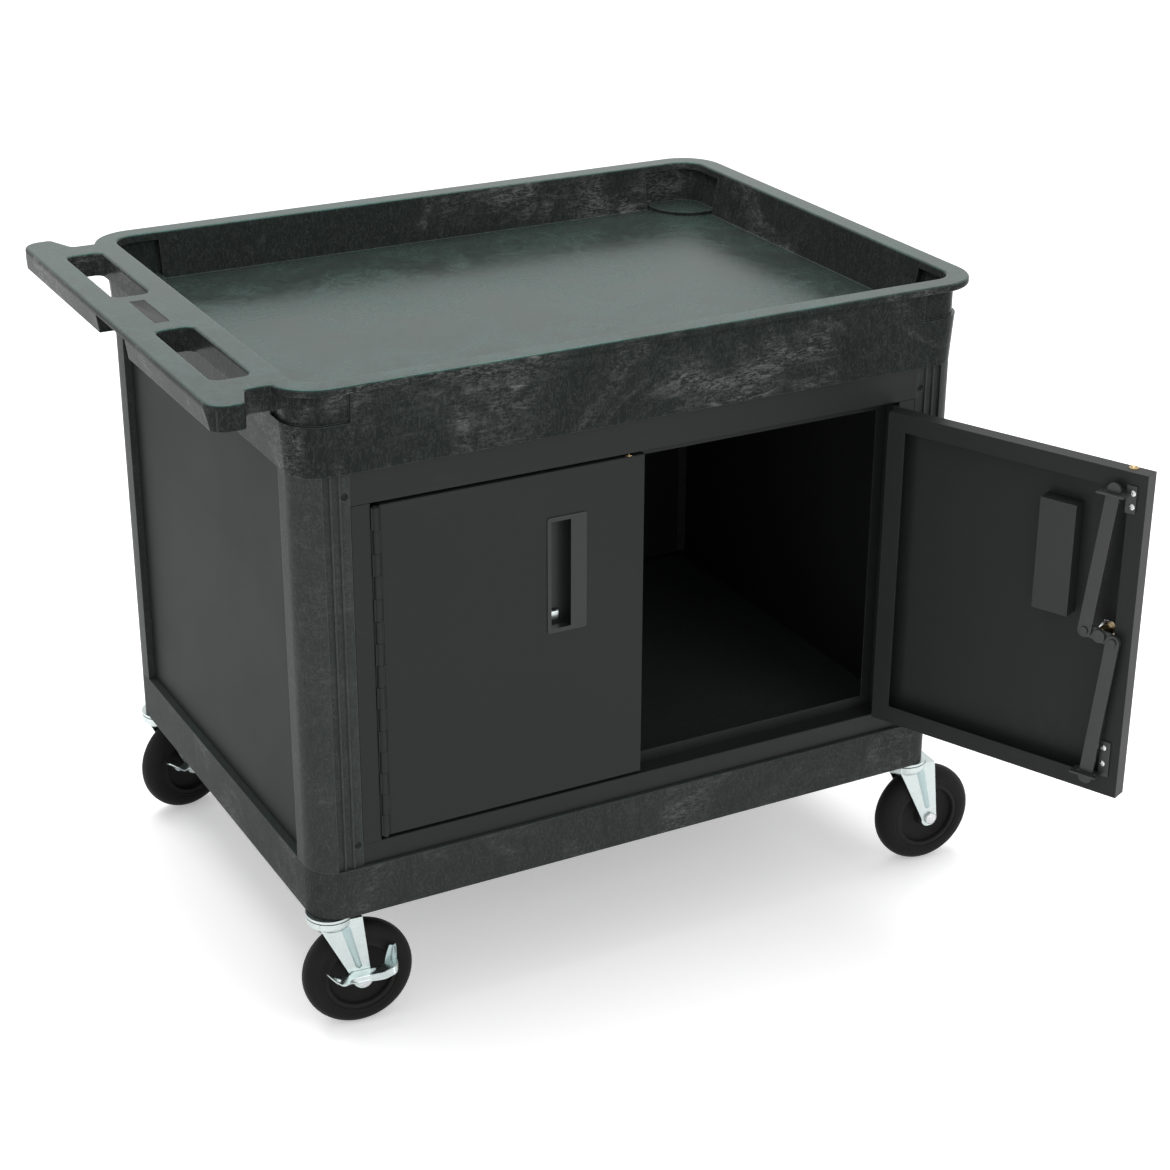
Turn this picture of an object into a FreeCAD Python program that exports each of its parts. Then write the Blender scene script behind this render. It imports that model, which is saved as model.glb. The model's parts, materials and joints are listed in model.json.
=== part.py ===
import FreeCAD, Part
import Sketcher
import math
import os
import re

# Microwave cart: a moulded tub with a push handle on four corner posts, a steel cabinet with two
# hinged doors below it, and a moulded base on four swivel casters.
# While a piece is drawn the cart's middle is x = y = 0; +X is to the right of somebody who faces the
# doors, +Y goes to the back and +Z up from the floor. Every Placement then moves the piece so that
# the middle of the whole outline, open door included, stands on the origin.

SIZES = {
    # moulded shelves: skirt outline, walls and heights
    "skirt_w": 813, "skirt_d": 603, "corner_r": 36, "mould_wall": 16, "deck_t": 7,
    "base_bottom": 147, "base_top": 206, "rim_top": 764, "tub_h": 100, "tub_depth": 55,
    "tub_bottom": "=rim_top - tub_h", "tub_floor": "=rim_top - tub_depth",
    "socket": 72, "edge_r": 2,
    # tub wall and rim
    "flare": 6, "rim_over": 17, "rim_h": 9, "rim_r": 3, "inset_low": 19, "inset_top": 9,
    "alcove_left": 67, "alcove_right": 81, "alcove_y": 78, "alcove_in": 7,
    "pad_in": 2, "pad_root": 3, "pad_r": 50, "pad_h": 5, "notch_w": 58, "notch_drop": 44,
    "notch_z": "=rim_top - notch_drop",
    # push handle
    "handle_out": 92, "handle_short": 1.5, "neck_in": 38, "lobe_w": 36, "neck_w": 50.5,
    "handle_half": "=skirt_d/2 + rim_over - handle_short", "neck_half": "=handle_half - neck_in",
    "handle_h": 27, "handle_wall": 5, "handle_plate": 6, "handle_draft": 3, "handle_root": 4,
    "slot_in": 20, "slot_out": 61.5, "slot_near": 66, "slot_far": 241, "slot_r": 10,
    "lobe_r": 22, "notch_r": 8, "grip_far": 36, "grip_near": 61,
    "label_x": 43, "label_y": 2, "label_w": 17, "label_l": 84, "label_in": 0.6,
    # corner posts
    "leg_x": 57.5, "leg_y": 54.5, "post_t": 9, "post_round": 26.5, "rib_at": 35.5, "rib_pitch": 10,
    "rib_w": 2, "rib_out": 2.5, "post_screw_x": 51.5, "post_screw_z": 26, "screw_sink": 2,
    # cabinet panels and face frame
    "panel_t": 1.2, "panel_hem": 14, "panel_gap": 0.3, "frame_set": 5, "stile_w": 22,
    "top_rail": 38, "bottom_rail": 25.5, "steel": 1.5, "rebate": 25, "stop": 14, "stop_gap": 0.5,
    "outer_hem": 12,
    # doors
    "door_gap": 3.5, "door_t": 20, "door_lip": 21, "bend_r": 1.4, "meet_x": 3.2, "meet_gap": 2.5,
    "door_open": 113.6,
    # continuous hinges
    "barrel_r": 3.6, "barrel_clear": 0.2, "leaf_t": 1.2, "leaf_w": 20, "pin_r": 1.5,
    "pin_clear": 0.06, "knuckles": 15, "knuckle_gap": 0.5, "hinge_end": 1.5, "pin_head_r": 2.8,
    "pin_head": 1, "hinge_screw_v": 11, "hinge_screw_z": 16,
    "hinge_screw_pitch": "=(tub_bottom - top_rail - base_top - bottom_rail - 2*door_gap - 2*hinge_screw_z)/3",
    # flush pulls
    "pull_u": 198, "pull_w": 48, "pull_drop": 52.5, "pull_h": 136, "pull_rim": 1.2, "pull_r": 3,
    "pull_low": "=tub_bottom - top_rail - base_top - bottom_rail - 2*door_gap - pull_drop - pull_h",
    "cup_edge": 2, "cup_depth": 19, "cup_wall": 2, "cup_clear": 0.3, "pull_side": 4.5,
    "pull_flap": 19.5, "pull_end": 5,
    # ball catches
    "catch_u": 300, "catch_v": 6.5, "catch_r": 4.2, "catch_len": 15, "catch_lip_r": 5.5,
    "catch_lip": 0.8, "ball_r": 2.8, "ball_out": 2.2, "ball_clear": 0.06, "ball_travel": 2,
    # lock and latch rods
    "lock_u": 289, "lock_low": 194, "lock_r": 7.5, "lock_head_r": 10, "lock_head": 2.5,
    "lock_len": 24, "lock_clear": 0.3, "plug_r": 6, "plug_clear": 0.06, "nut_af": 20, "nut_t": 4.5,
    "cam_arm": 17.5, "cam_w": 15, "cam_t": 2.5, "cam_tilt": 9, "cam_gap": 0.5, "cam_hub": 3,
    "pivot_r": 2.5, "cap_r": 4.5, "cap_t": 1.5, "rod_w": 16, "rod_t": 3, "rod_gap": 0.4,
    "guide_u": 290, "guide_drop": 25, "guide_t": 2, "guide_slot": 4, "guide_reach": 17,
    "guide_from": 273, "guide_leg_u": 301, "guide_leg_w": 12, "guide_short": 10.5, "guide_long": 41.5,
    "guide_foot": 21, "tip_in": 13, "guide_screw_in": 8, "guide_step": 14,
    # casters
    "caster_in_x": 23.5, "caster_in_y": 27, "caster_x": "=skirt_w/2 - caster_in_x",
    "caster_y": "=skirt_d/2 - caster_in_y", "wheel_r": 63.5, "wheel_w": 32, "tread_r": 15,
    "trail": 29, "hub_r": 43, "hub_w": 34, "hub_rim": 6, "hub_web": 10, "boss_r": 13,
    "axle_r": 5, "axle_clear": 0.06, "axle_head_r": 8, "axle_head": 4, "fork_t": 3,
    "fork_gap": 36, "fork_clear": 0.3, "fork_front": 18, "fork_back": 2, "fork_foot": 11,
    "plate_r": 26.5, "race_h": 3, "race_gap": 1.2, "yoke_h": 5, "kingpin_r": 5.5, "kingpin_clear": 0.06,
    "kingpin_up": 34, "stem_clear": 0.3, "nut_r": 9, "kingpin_nut": 4,
    "pedal_back": 43, "pedal_front": 39, "pedal_w": 17, "pedal_t": 2, "pedal_z": 9,
    "pedal_r": 11, "pedal_clear": 0.3, "tab_h": 37, "tab_x": 26, "tab_w": 13,
    # where each caster points at rest, degrees from +X
    "head_front_left": -4.7, "head_front_right": -3.4, "head_back_left": 14, "head_back_right": 6,
    # screws
    "screw_r": 3.4, "screw_h": 1.2,
}

doc = FreeCAD.newDocument("MicrowaveCart")
sheet = doc.addObject("Spreadsheet::Sheet", "Sizes")
for row, (alias, value) in enumerate(SIZES.items(), 1):
    sheet.set("A%d" % row, alias)
    sheet.set("B%d" % row, str(value))
    sheet.setAlias("B%d" % row, alias)
doc.recompute()

WORD = re.compile(r"[a-z][a-z_]*[a-z]")
pieces = []


def bound(text):
    """The expression with each size replaced by its cell of the sheet."""
    return WORD.sub(lambda m: "Sizes." + m.group() if m.group() in SIZES else m.group(), str(text))


def number(text):
    """The present value of an expression."""
    value = sheet.evalExpression(bound(text))
    return float(getattr(value, "Value", value))


# --- lengths that several pieces share -------------------------------------------------------------
HALF_W = "(skirt_w/2)"
HALF_D = "(skirt_d/2)"
FACE_Y = "(frame_set - skirt_d/2)"
FRAME_X = "(skirt_w/2 - leg_x)"
OPEN_X = "(skirt_w/2 - leg_x - stile_w)"
OPEN_LOW = "(base_top + bottom_rail)"
OPEN_TOP = "(tub_bottom - top_rail)"
DOOR_LOW = "(base_top + bottom_rail + door_gap)"
DOOR_TOP = "(tub_bottom - top_rail - door_gap)"
LEAF_IN = "(barrel_r + barrel_clear)"
LEAF_OUT = "(barrel_r + barrel_clear + leaf_t)"
HINGE_X = "(skirt_w/2 - leg_x - stile_w - barrel_r - barrel_clear - leaf_t)"
# from each hinge axis to the free edge of its door; the doors meet a little left of the middle
LEFT_LEN = "(%s - meet_x - meet_gap/2)" % HINGE_X
RIGHT_LEN = "(%s + meet_x - meet_gap/2)" % HINGE_X
PULL_LOW = "(%s + pull_low)" % DOOR_LOW
LOCK_Z = "(%s + lock_low)" % DOOR_LOW
CAM_V = "(lock_len + cam_gap)"
ROD_V = "(lock_len + cam_gap + cam_t + rod_gap)"
FORK_TOP = "(base_bottom - race_h - race_gap)"
PEDAL_Y = "(fork_gap/2 + fork_t + pedal_clear)"
# the outline of the whole cart reaches from the handle to the front right wheel and to the open door
TIP_X = "(%s - %s*cos(door_open*1deg))" % (HINGE_X, RIGHT_LEN)
WHEEL_X = ("(caster_x + (trail + wheel_r - tread_r)*cos(head_front_right*1deg)"
           " + (wheel_w/2 - tread_r)*abs(sin(head_front_right*1deg)) + tread_r)")
TIP_Y = "(%s - %s*sin(door_open*1deg) + door_t*cos(door_open*1deg))" % (FACE_Y, RIGHT_LEN)
SHIFT = {
    "x": "((skirt_w/2 + handle_out - max(%s; %s))/2)" % (TIP_X, WHEEL_X),
    "y": "(-(skirt_d/2 + rim_over + %s)/2)" % TIP_Y,
    "z": "0",
}
LEFT, RIGHT = 1, -1
DOOR_TURN = {LEFT: "0", RIGHT: "door_open"}


def signed(sign, text):
    return str(text) if sign > 0 else "-(%s)" % text


# --- drawing helpers -------------------------------------------------------------------------------
def place(piece, at=("0", "0", "0"), turn="0"):
    """Stand a piece in the part's frame, turned about +Z."""
    piece.Placement = FreeCAD.Placement(FreeCAD.Vector(), FreeCAD.Rotation(FreeCAD.Vector(0, 0, 1), 1))
    piece.setExpression("Placement.Rotation.Angle", bound("(%s)*1deg" % turn))
    for axis, text in zip("xyz", at):
        piece.setExpression("Placement.Base." + axis, bound("%s + %s" % (text, SHIFT[axis])))


def new_body(label):
    body = doc.addObject("PartDesign::Body", label)
    body.Label = label
    pieces.append(body)
    return body


def block(body, low, high, cut=False, name="Block"):
    """A box between two corners; it cuts where cut is set."""
    feature = body.newObject("PartDesign::SubtractiveBox" if cut else "PartDesign::AdditiveBox", name)
    for prop, axis, a, b in zip(("Length", "Width", "Height"), "xyz", low, high):
        if number(a) > number(b):
            a, b = b, a
        feature.setExpression(prop, bound("(%s) - (%s)" % (b, a)))
        feature.setExpression("Placement.Base." + axis, bound(a))
    return feature


TOWARDS = {
    "x": FreeCAD.Rotation(FreeCAD.Vector(0, 0, 1), FreeCAD.Vector(1, 0, 0)),
    "y": FreeCAD.Rotation(FreeCAD.Vector(0, 0, 1), FreeCAD.Vector(0, 1, 0)),
    "z": FreeCAD.Rotation(),
}


def round_bar(body, base, axis, radius, length, cut=False, name="Round"):
    """A cylinder that starts at base and runs along +x, +y or +z."""
    kind = "PartDesign::SubtractiveCylinder" if cut else "PartDesign::AdditiveCylinder"
    feature = body.newObject(kind, name)
    feature.Placement = FreeCAD.Placement(FreeCAD.Vector(), TOWARDS[axis])
    feature.setExpression("Radius", bound(radius))
    feature.setExpression("Height", bound(length))
    for letter, text in zip("xyz", base):
        feature.setExpression("Placement.Base." + letter, bound(text))
    return feature


def outline(body, plane, corners, height="0", name="Outline"):
    """A closed sketch through corners (x, y) or (x, y, radius) on an origin plane of the body."""
    sketch = body.newObject("Sketcher::SketchObject", name)
    support = [item for item in body.Origin.OriginFeatures if item.Role == plane][0]
    sketch.AttachmentSupport = [(support, "")]
    sketch.MapMode = "FlatFace"
    sketch.setExpression("AttachmentOffset.Base.z", bound(height))
    spots = [FreeCAD.Vector(number(c[0]), number(c[1]), 0) for c in corners]
    count = len(spots)
    cuts = []
    for i, corner in enumerate(corners):
        radius = number(corner[2]) if len(corner) > 2 else 0.0
        before = (spots[i - 1] - spots[i]).normalize()
        after = (spots[(i + 1) % count] - spots[i]).normalize()
        half = before.getAngle(after) / 2
        reach = radius / math.tan(half) if radius else 0.0
        middle = (before + after).normalize() * (radius / math.sin(half)) if radius else None
        cuts.append((spots[i] + before * reach, spots[i] + after * reach, middle, radius))
    lines = [
        sketch.addGeometry(Part.LineSegment(cuts[i][1], cuts[(i + 1) % count][0]), False)
        for i in range(count)
    ]
    named = []

    def rule(*values, text=None):
        index = sketch.addConstraint(Sketcher.Constraint(*values))
        if text is not None:
            named.append((index, text))

    for i, corner in enumerate(corners):
        into, out = lines[i - 1], lines[i]
        spot = out
        if cuts[i][3]:
            centre = spots[i] + cuts[i][2]
            ends = (cuts[i][0] - centre, cuts[i][1] - centre)
            left_turn = ends[0].cross(ends[1]).z > 0
            angles = [math.atan2(e.y, e.x) for e in (ends if left_turn else ends[::-1])]
            circle = Part.Circle(centre, FreeCAD.Vector(0, 0, 1), cuts[i][3])
            arc = sketch.addGeometry(Part.ArcOfCircle(circle, angles[0], angles[1]), False)
            spot = sketch.addGeometry(Part.Point(spots[i]), True)
            first, last = (1, 2) if left_turn else (2, 1)
            rule("Tangent", into, 2, arc, first)
            rule("Tangent", arc, last, out, 1)
            rule("Radius", arc, cuts[i][3], text=corner[2])
            rule("PointOnObject", spot, 1, into)
            rule("PointOnObject", spot, 1, out)
        else:
            rule("Coincident", into, 2, out, 1)
        rule("DistanceX", -1, 1, spot, 1, spots[i].x, text=corner[0])
        rule("DistanceY", -1, 1, spot, 1, spots[i].y, text=corner[1])
    for index, text in named:
        sketch.setExpression("Constraints[%d]" % index, bound(text))
    return sketch


def prism(body, plane, corners, base, length, cut=False, name="Slab"):
    """Extrude an outline from base over length along +Z, +X (YZ plane) or +Y (XZ plane)."""
    height = "-((%s) + (%s))" % (base, length) if plane == "XZ_Plane" else base
    sketch = outline(body, plane, corners, height, name + "Outline")
    feature = body.newObject("PartDesign::Pocket" if cut else "PartDesign::Pad", name)
    feature.Profile = sketch
    feature.setExpression("Length", bound(length))
    feature.Reversed = cut
    return feature


def loft(body, low, low_z, high, high_z, cut=False, name="Taper"):
    """A straight taper between two outlines with as many corners each."""
    first = outline(body, "XY_Plane", low, low_z, name + "Low")
    last = outline(body, "XY_Plane", high, high_z, name + "High")
    kind = "PartDesign::SubtractiveLoft" if cut else "PartDesign::AdditiveLoft"
    feature = body.newObject(kind, name)
    feature.Profile = first
    feature.Sections = [last]
    feature.Ruled = True
    return feature


def revolve(body, corners, name="Turned"):
    """Turn an outline (radius, y) about the body's Y axis."""
    sketch = outline(body, "XY_Plane", corners, "0", name + "Outline")
    feature = body.newObject("PartDesign::Revolution", name)
    feature.Profile = sketch
    feature.ReferenceAxis = (sketch, ["V_Axis"])
    feature.Angle = 360
    return feature


def soften(body, radius, wanted, name="Rounding"):
    """Round the edges of the body's present shape for which wanted(edge) is true."""
    doc.recompute()
    tip = body.Tip
    names = ["Edge%d" % i for i, edge in enumerate(tip.Shape.Edges, 1) if wanted(edge)]
    feature = body.newObject("PartDesign::Fillet", name)
    feature.Base = (tip, names)
    feature.setExpression("Radius", bound(radius))
    return feature


def level(edge, height):
    box = edge.BoundBox
    return abs(box.ZMin - height) < 1e-4 and abs(box.ZMax - height) < 1e-4


# --- moulded tub with its push handle --------------------------------------------------------------
def plan(inset, radius):
    """The rounded plan of the shelves, drawn in by inset."""
    x = "(%s - (%s))" % (HALF_W, inset)
    y = "(%s - (%s))" % (HALF_D, inset)
    return [("-" + x, "-" + y, radius), (x, "-" + y, radius), (x, y, radius), ("-" + x, y, radius)]


def hollow_plan():
    """The space under a deck: inside the skirt, outside the four corner blocks."""
    far_x, far_y = "(%s - mould_wall)" % HALF_W, "(%s - mould_wall)" % HALF_D
    near_x, near_y = "(%s - socket)" % HALF_W, "(%s - socket)" % HALF_D
    quarter = [(near_x, far_y), (near_x, near_y), (far_x, near_y)]
    corners = []
    for sx, sy in ((1, 1), (1, -1), (-1, -1), (-1, 1)):
        part = quarter if sx * sy > 0 else quarter[::-1]
        corners += [(signed(sx, x), signed(sy, y)) for x, y in part]
    return corners


def corner_plan(sx, sy, points):
    """Corners given as distances in from the side and the front of one corner of the skirt."""
    drawn = []
    for point in points:
        x = signed(sx, "%s - (%s)" % (HALF_W, point[0]))
        y = signed(sy, "%s - (%s)" % (HALF_D, point[1]))
        drawn.append((x, y) + tuple(point[2:]))
    return drawn


CORNERS = [(sx, sy) for sx in (-1, 1) for sy in (-1, 1)]
RIM_LOW = "(rim_top - rim_h)"
HANDLE_X = "(%s + handle_out)" % HALF_W

tub = new_body("top_tub")
loft(tub, plan("0", "corner_r"), "tub_bottom", plan("-flare", "corner_r + flare"), RIM_LOW)
for sx, sy in CORNERS:
    shelf = [("notch_w", "-rim_over"), ("-rim_over", "-rim_over"), ("-rim_over", "notch_w"),
             ("0", "notch_w"), ("0", "0", "corner_r"), ("notch_w", "0")]
    prism(tub, "XY_Plane", corner_plan(sx, sy, shelf), "notch_z", "rim_top - rim_h - notch_z",
          cut=True, name="CornerStep")
GRIP_START = {1: "grip_far", -1: "grip_near"}


def handle_side(sy):
    """Plan of one end of the handle, from its grip's inner end to the tub wall."""
    return [("-" + HANDLE_X, signed(sy, GRIP_START[sy])),
            ("-" + HANDLE_X, signed(sy, "handle_half"), "lobe_r"),
            ("lobe_w - " + HANDLE_X, signed(sy, "handle_half"), "notch_r"),
            ("neck_w - " + HANDLE_X, signed(sy, "neck_half"), "notch_r"),
            (ROOT_X, signed(sy, "neck_half")), (ROOT_X, signed(sy, GRIP_START[sy]))]


ROOT_X = "(handle_root - %s)" % HALF_W
HANDLE_LOW = "(rim_top - handle_h)"
PLATE_LOW = "(rim_top - handle_plate)"
for sy in (-1, 1):
    prism(tub, "XY_Plane", handle_side(sy), HANDLE_LOW, "handle_h - handle_plate", name="Grip")
draft = [("-%s - 1" % HANDLE_X, HANDLE_LOW), ("handle_draft - " + HANDLE_X, HANDLE_LOW),
         ("-" + HANDLE_X, PLATE_LOW), ("-%s - 1" % HANDLE_X, PLATE_LOW)]
prism(tub, "XZ_Plane", draft, "-handle_half", "2*handle_half", cut=True, name="HandleDraft")
top = [("-" + HANDLE_X, "-handle_half", "lobe_r"), ("lobe_w - " + HANDLE_X, "-handle_half", "notch_r"),
       ("neck_w - " + HANDLE_X, "-neck_half", "notch_r"), (ROOT_X, "-neck_half")]
top += [(c[0], "-(%s)" % c[1]) + c[2:] for c in top[::-1]]
prism(tub, "XY_Plane", top, PLATE_LOW, "handle_plate", name="HandlePlate")
for sy in (-1, 1):
    slot = [("slot_out", "slot_near"), ("slot_out", "slot_far"), ("slot_in", "slot_far"),
            ("slot_in", "slot_near")]
    slot = [("-(%s + %s)" % (HALF_W, x), signed(sy, y), "slot_r") for x, y in slot]
    prism(tub, "XY_Plane", slot, HANDLE_LOW, "handle_h", cut=True, name="FingerSlot")
    start = "%s + handle_wall" % GRIP_START[sy]
    under = [("-(%s - handle_wall - handle_draft)" % HANDLE_X, start),
             ("-(%s - handle_wall - handle_draft)" % HANDLE_X, "handle_half - handle_wall"),
             ("lobe_w - handle_wall - %s" % HANDLE_X, "handle_half - handle_wall"),
             ("neck_w - handle_wall - %s" % HANDLE_X, "neck_half - handle_wall"),
             ("-(%s + flare + handle_wall)" % HALF_W, "neck_half - handle_wall"),
             ("-(%s + flare + handle_wall)" % HALF_W, "slot_far + handle_wall"),
             ("-(%s + slot_out + handle_wall)" % HALF_W, "slot_far + handle_wall"),
             ("-(%s + slot_out + handle_wall)" % HALF_W, start)]
    prism(tub, "XY_Plane", [(x, signed(sy, y)) for x, y in under], HANDLE_LOW,
          "handle_h - handle_plate", cut=True, name="GripHollow")
prism(tub, "XY_Plane", plan("-rim_over", "corner_r + rim_over"), RIM_LOW, "rim_h", name="Rim")
loft(tub, plan("inset_low", "corner_r - inset_low"), "tub_floor",
     plan("inset_top", "corner_r - inset_top"), "rim_top", cut=True, name="TubSpace")
for sx, sy in CORNERS:
    along = "alcove_left" if sx < 0 else "alcove_right"
    levels = []
    for inset in ("inset_low - alcove_in", "inset_top - alcove_in"):
        levels.append(corner_plan(sx, sy, [(along, "alcove_y"), (inset, "alcove_y"),
                                           (inset, inset, "corner_r - (%s)" % inset), (along, inset)]))
    loft(tub, levels[0], "tub_floor", levels[1], RIM_LOW, cut=True, name="Alcove")
for sx, sy in CORNERS:
    inset = "inset_low - alcove_in - pad_root"
    reach_x = ("alcove_left" if sx < 0 else "alcove_right") + " - pad_in"
    reach_y = "alcove_y - pad_in"
    pad = [(inset, inset), (reach_x, inset), (reach_x, reach_y, "pad_r"), (inset, reach_y)]
    prism(tub, "XY_Plane", corner_plan(sx, sy, pad), "tub_floor", "pad_h", name="CornerPad")
prism(tub, "XY_Plane", hollow_plan(), "tub_bottom", "tub_floor - deck_t - tub_bottom", cut=True,
      name="UnderDeck")
soften(tub, "rim_r", lambda e: level(e, number("rim_top")), name="TopRound")
soften(tub, "rim_r", lambda e: level(e, number(RIM_LOW)) and e.CenterOfMass.x > -number(HALF_W)
       and max(e.CenterOfMass.x - number(HALF_W), abs(e.CenterOfMass.y) - number(HALF_D)) > 8,
       name="LipRound")
block(tub, ("-(%s + label_x + label_w/2)" % HALF_W, "label_y - label_l/2", "rim_top - label_in"),
      ("-(%s + label_x - label_w/2)" % HALF_W, "label_y + label_l/2", "rim_top"), cut=True, name="LabelSeat")
place(tub)

# --- moulded base: flat deck, hollow below, a solid block at each corner for the caster stem -------
base = new_body("base_shelf")
prism(base, "XY_Plane", plan("0", "corner_r"), "base_bottom", "base_top - base_bottom", name="Skirt")
prism(base, "XY_Plane", hollow_plan(), "base_bottom", "base_top - deck_t - base_bottom", cut=True,
      name="UnderDeck")
for sx, sy in CORNERS:
    round_bar(base, (signed(sx, "caster_x"), signed(sy, "caster_y"), "base_bottom"), "z",
              "kingpin_r + stem_clear", "kingpin_up + stem_clear", cut=True, name="StemSocket")
soften(base, "edge_r", lambda e: level(e, number("base_bottom"))
       and max(abs(e.CenterOfMass.x) - number(HALF_W), abs(e.CenterOfMass.y) - number(HALF_D)) > -8,
       name="FootRound")
place(base)

# --- corner posts: an L with the skirt's rounded corner, a set-back front leg and two beads --------
for sx, sy in CORNERS:
    label = "post_%s_%s" % ("front" if sy < 0 else "back", "left" if sx < 0 else "right")
    post = new_body(label)
    profile = [("0", "0", "corner_r"), ("leg_x", "0"), ("leg_x", "frame_set + post_t"),
               ("post_t", "frame_set + post_t"), ("post_t", "leg_y"), ("0", "leg_y")]
    prism(post, "XY_Plane", corner_plan(sx, sy, profile), "base_top", "tub_bottom - base_top", name="Leg")

    def spot(across, inward):
        return signed(sx, "%s - (%s)" % (HALF_W, across)), signed(sy, "%s - (%s)" % (HALF_D, inward))

    block(post, spot("post_round", "-1") + ("base_top",), spot("leg_x + 1", "frame_set") + ("tub_bottom",),
          cut=True, name="SetBack")
    for bead in ("rib_at", "rib_at + rib_pitch"):
        block(post, spot(bead + " - rib_w/2", "frame_set - rib_out") + ("base_top",),
              spot(bead + " + rib_w/2", "frame_set + 1") + ("tub_bottom",), name="Bead")
    for height in ("base_top + post_screw_z", "tub_bottom - post_screw_z"):
        x, y = spot("post_screw_x", "frame_set" if sy < 0 else "frame_set + screw_sink")
        round_bar(post, (x, y, height), "y", "screw_r + 0.8", "screw_sink", cut=True, name="ScrewSeat")
    place(post)

# --- steel side and back panels, hemmed at top and bottom ------------------------------------------
for sx, name in ((-1, "side_panel_left"), (1, "side_panel_right")):
    panel = new_body(name)
    reach = "(%s - frame_set - post_t - panel_gap)" % HALF_D
    outer = signed(sx, "%s - post_t" % HALF_W)
    block(panel, (outer, "-" + reach, "base_top"),
          (signed(sx, "%s - post_t - panel_t" % HALF_W), reach, "tub_bottom"), name="Sheet")
    for low, high in (("base_top", "base_top + panel_t"), ("tub_bottom - panel_t", "tub_bottom")):
        block(panel, (outer, "-" + reach, low),
              (signed(sx, "%s - post_t - panel_hem" % HALF_W), reach, high), name="Hem")
    place(panel)

back = new_body("back_panel")
reach = "(%s - post_t - panel_hem - panel_gap)" % HALF_W
outer = "(%s - frame_set - post_t)" % HALF_D
block(back, ("-" + reach, outer, "base_top"), (reach, outer + " - panel_t", "tub_bottom"), name="Sheet")
for low, high in (("base_top", "base_top + panel_t"), ("tub_bottom - panel_t", "tub_bottom")):
    block(back, ("-" + reach, outer, low), (reach, outer + " - panel_hem", high), name="Hem")
place(back)


# --- steel face frame: folded rails across, folded stiles between them -----------------------------
def folded(across, fold, sign, lead):
    """Section of a folded member: outer edge at across, opening edge at fold, (lead, depth)."""
    inner_fold = "%s %s steel" % (fold, "-" if sign > 0 else "+")
    inner_edge = "%s %s steel" % (across, "+" if sign > 0 else "-")
    depth = "%s + rebate - steel" % FACE_Y
    points = [(across, "%s + outer_hem" % FACE_Y), (across, FACE_Y, "bend_r"), (fold, FACE_Y, "bend_r"),
              (fold, depth), (inner_fold, depth), (inner_fold, "%s + steel" % FACE_Y),
              (inner_edge, "%s + steel" % FACE_Y), (inner_edge, "%s + outer_hem" % FACE_Y)]
    return points if lead == "x" else [(p[1], p[0]) + tuple(p[2:]) for p in points]


for name, edge, fold, sign in (("frame_rail_top", "tub_bottom", OPEN_TOP, -1),
                               ("frame_rail_bottom", "base_top", OPEN_LOW, 1)):
    rail = new_body(name)
    prism(rail, "YZ_Plane", folded(edge, fold, sign, "z"), "-" + FRAME_X, "2*" + FRAME_X, name="Fold")
    place(rail)
for name, sx in (("frame_stile_left", -1), ("frame_stile_right", 1)):
    stile = new_body(name)
    prism(stile, "XY_Plane", folded(signed(sx, FRAME_X), signed(sx, OPEN_X), -sx, "x"), OPEN_LOW,
          "%s - %s" % (OPEN_TOP, OPEN_LOW), name="Fold")
    place(stile)

# four strips welded behind the folds, which the doors close against
strips = []
OUT_X, IN_X = OPEN_X + " + steel", OPEN_X + " - stop"
SIDE_LOW, SIDE_TOP = OPEN_LOW + " + stop + stop_gap", OPEN_TOP + " - stop - stop_gap"
for name, low, high in (
        ("StopTop", ("-(%s)" % OUT_X, OPEN_TOP + " - stop"), (OUT_X, OPEN_TOP + " + steel")),
        ("StopBottom", ("-(%s)" % OUT_X, OPEN_LOW + " - steel"), (OUT_X, OPEN_LOW + " + stop")),
        ("StopLeft", ("-(%s)" % OUT_X, SIDE_LOW), ("-(%s)" % IN_X, SIDE_TOP)),
        ("StopRight", (IN_X, SIDE_LOW), (OUT_X, SIDE_TOP))):
    strip = doc.addObject("Part::Box", name)
    depth = (FACE_Y + " + rebate - steel", FACE_Y + " + rebate")
    for prop, axis, first, last in (("Length", "x", low[0], high[0]), ("Width", "y") + depth,
                                    ("Height", "z", low[1], high[1])):
        strip.setExpression(prop, bound("(%s) - (%s)" % (last, first)))
        strip.setExpression("Placement.Base." + axis, bound(first))
    strips.append(strip)
stops = doc.addObject("Part::Compound", "door_stops")
stops.Label = "door_stops"
stops.Links = strips
pieces.append(stops)
place(stops)

# --- doors: folded pans on continuous hinges -------------------------------------------------------
# A door's own frame stands on its hinge axis: u runs from the axis to the free edge and is +x in the
# left door and -x in the right one, v runs into the cabinet when the door is shut.
HINGE_LOW = "(%s + hinge_end)" % DOOR_LOW
HINGE_TOP = "(%s - hinge_end)" % DOOR_TOP
KNUCKLE = "((%s - %s)/knuckles)" % (HINGE_TOP, HINGE_LOW)


def slab(body, side, u, v, z, cut=False, name="Slab"):
    """A box of a door from u[0] to u[1], v[0] to v[1] and z[0] to z[1]."""
    block(body, (signed(side, u[0]), v[0], z[0]), (signed(side, u[1]), v[1], z[1]), cut, name)


def on_hinge(piece, side, moving=True):
    turn = DOOR_TURN[side] if moving else "0"
    place(piece, (signed(-side, HINGE_X), FACE_Y, "0"), turn)


def in_door(side, u, v, z):
    """A point of a door as it stands at rest, in the cart's coordinates."""
    x = signed(side, u)
    turn = "(%s)*1deg" % DOOR_TURN[side]
    return ("(%s + (%s)*cos(%s) - (%s)*sin(%s))" % (signed(-side, HINGE_X), x, turn, v, turn),
            "(%s + (%s)*sin(%s) + (%s)*cos(%s))" % (FACE_Y, x, turn, v, turn), z)


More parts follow.
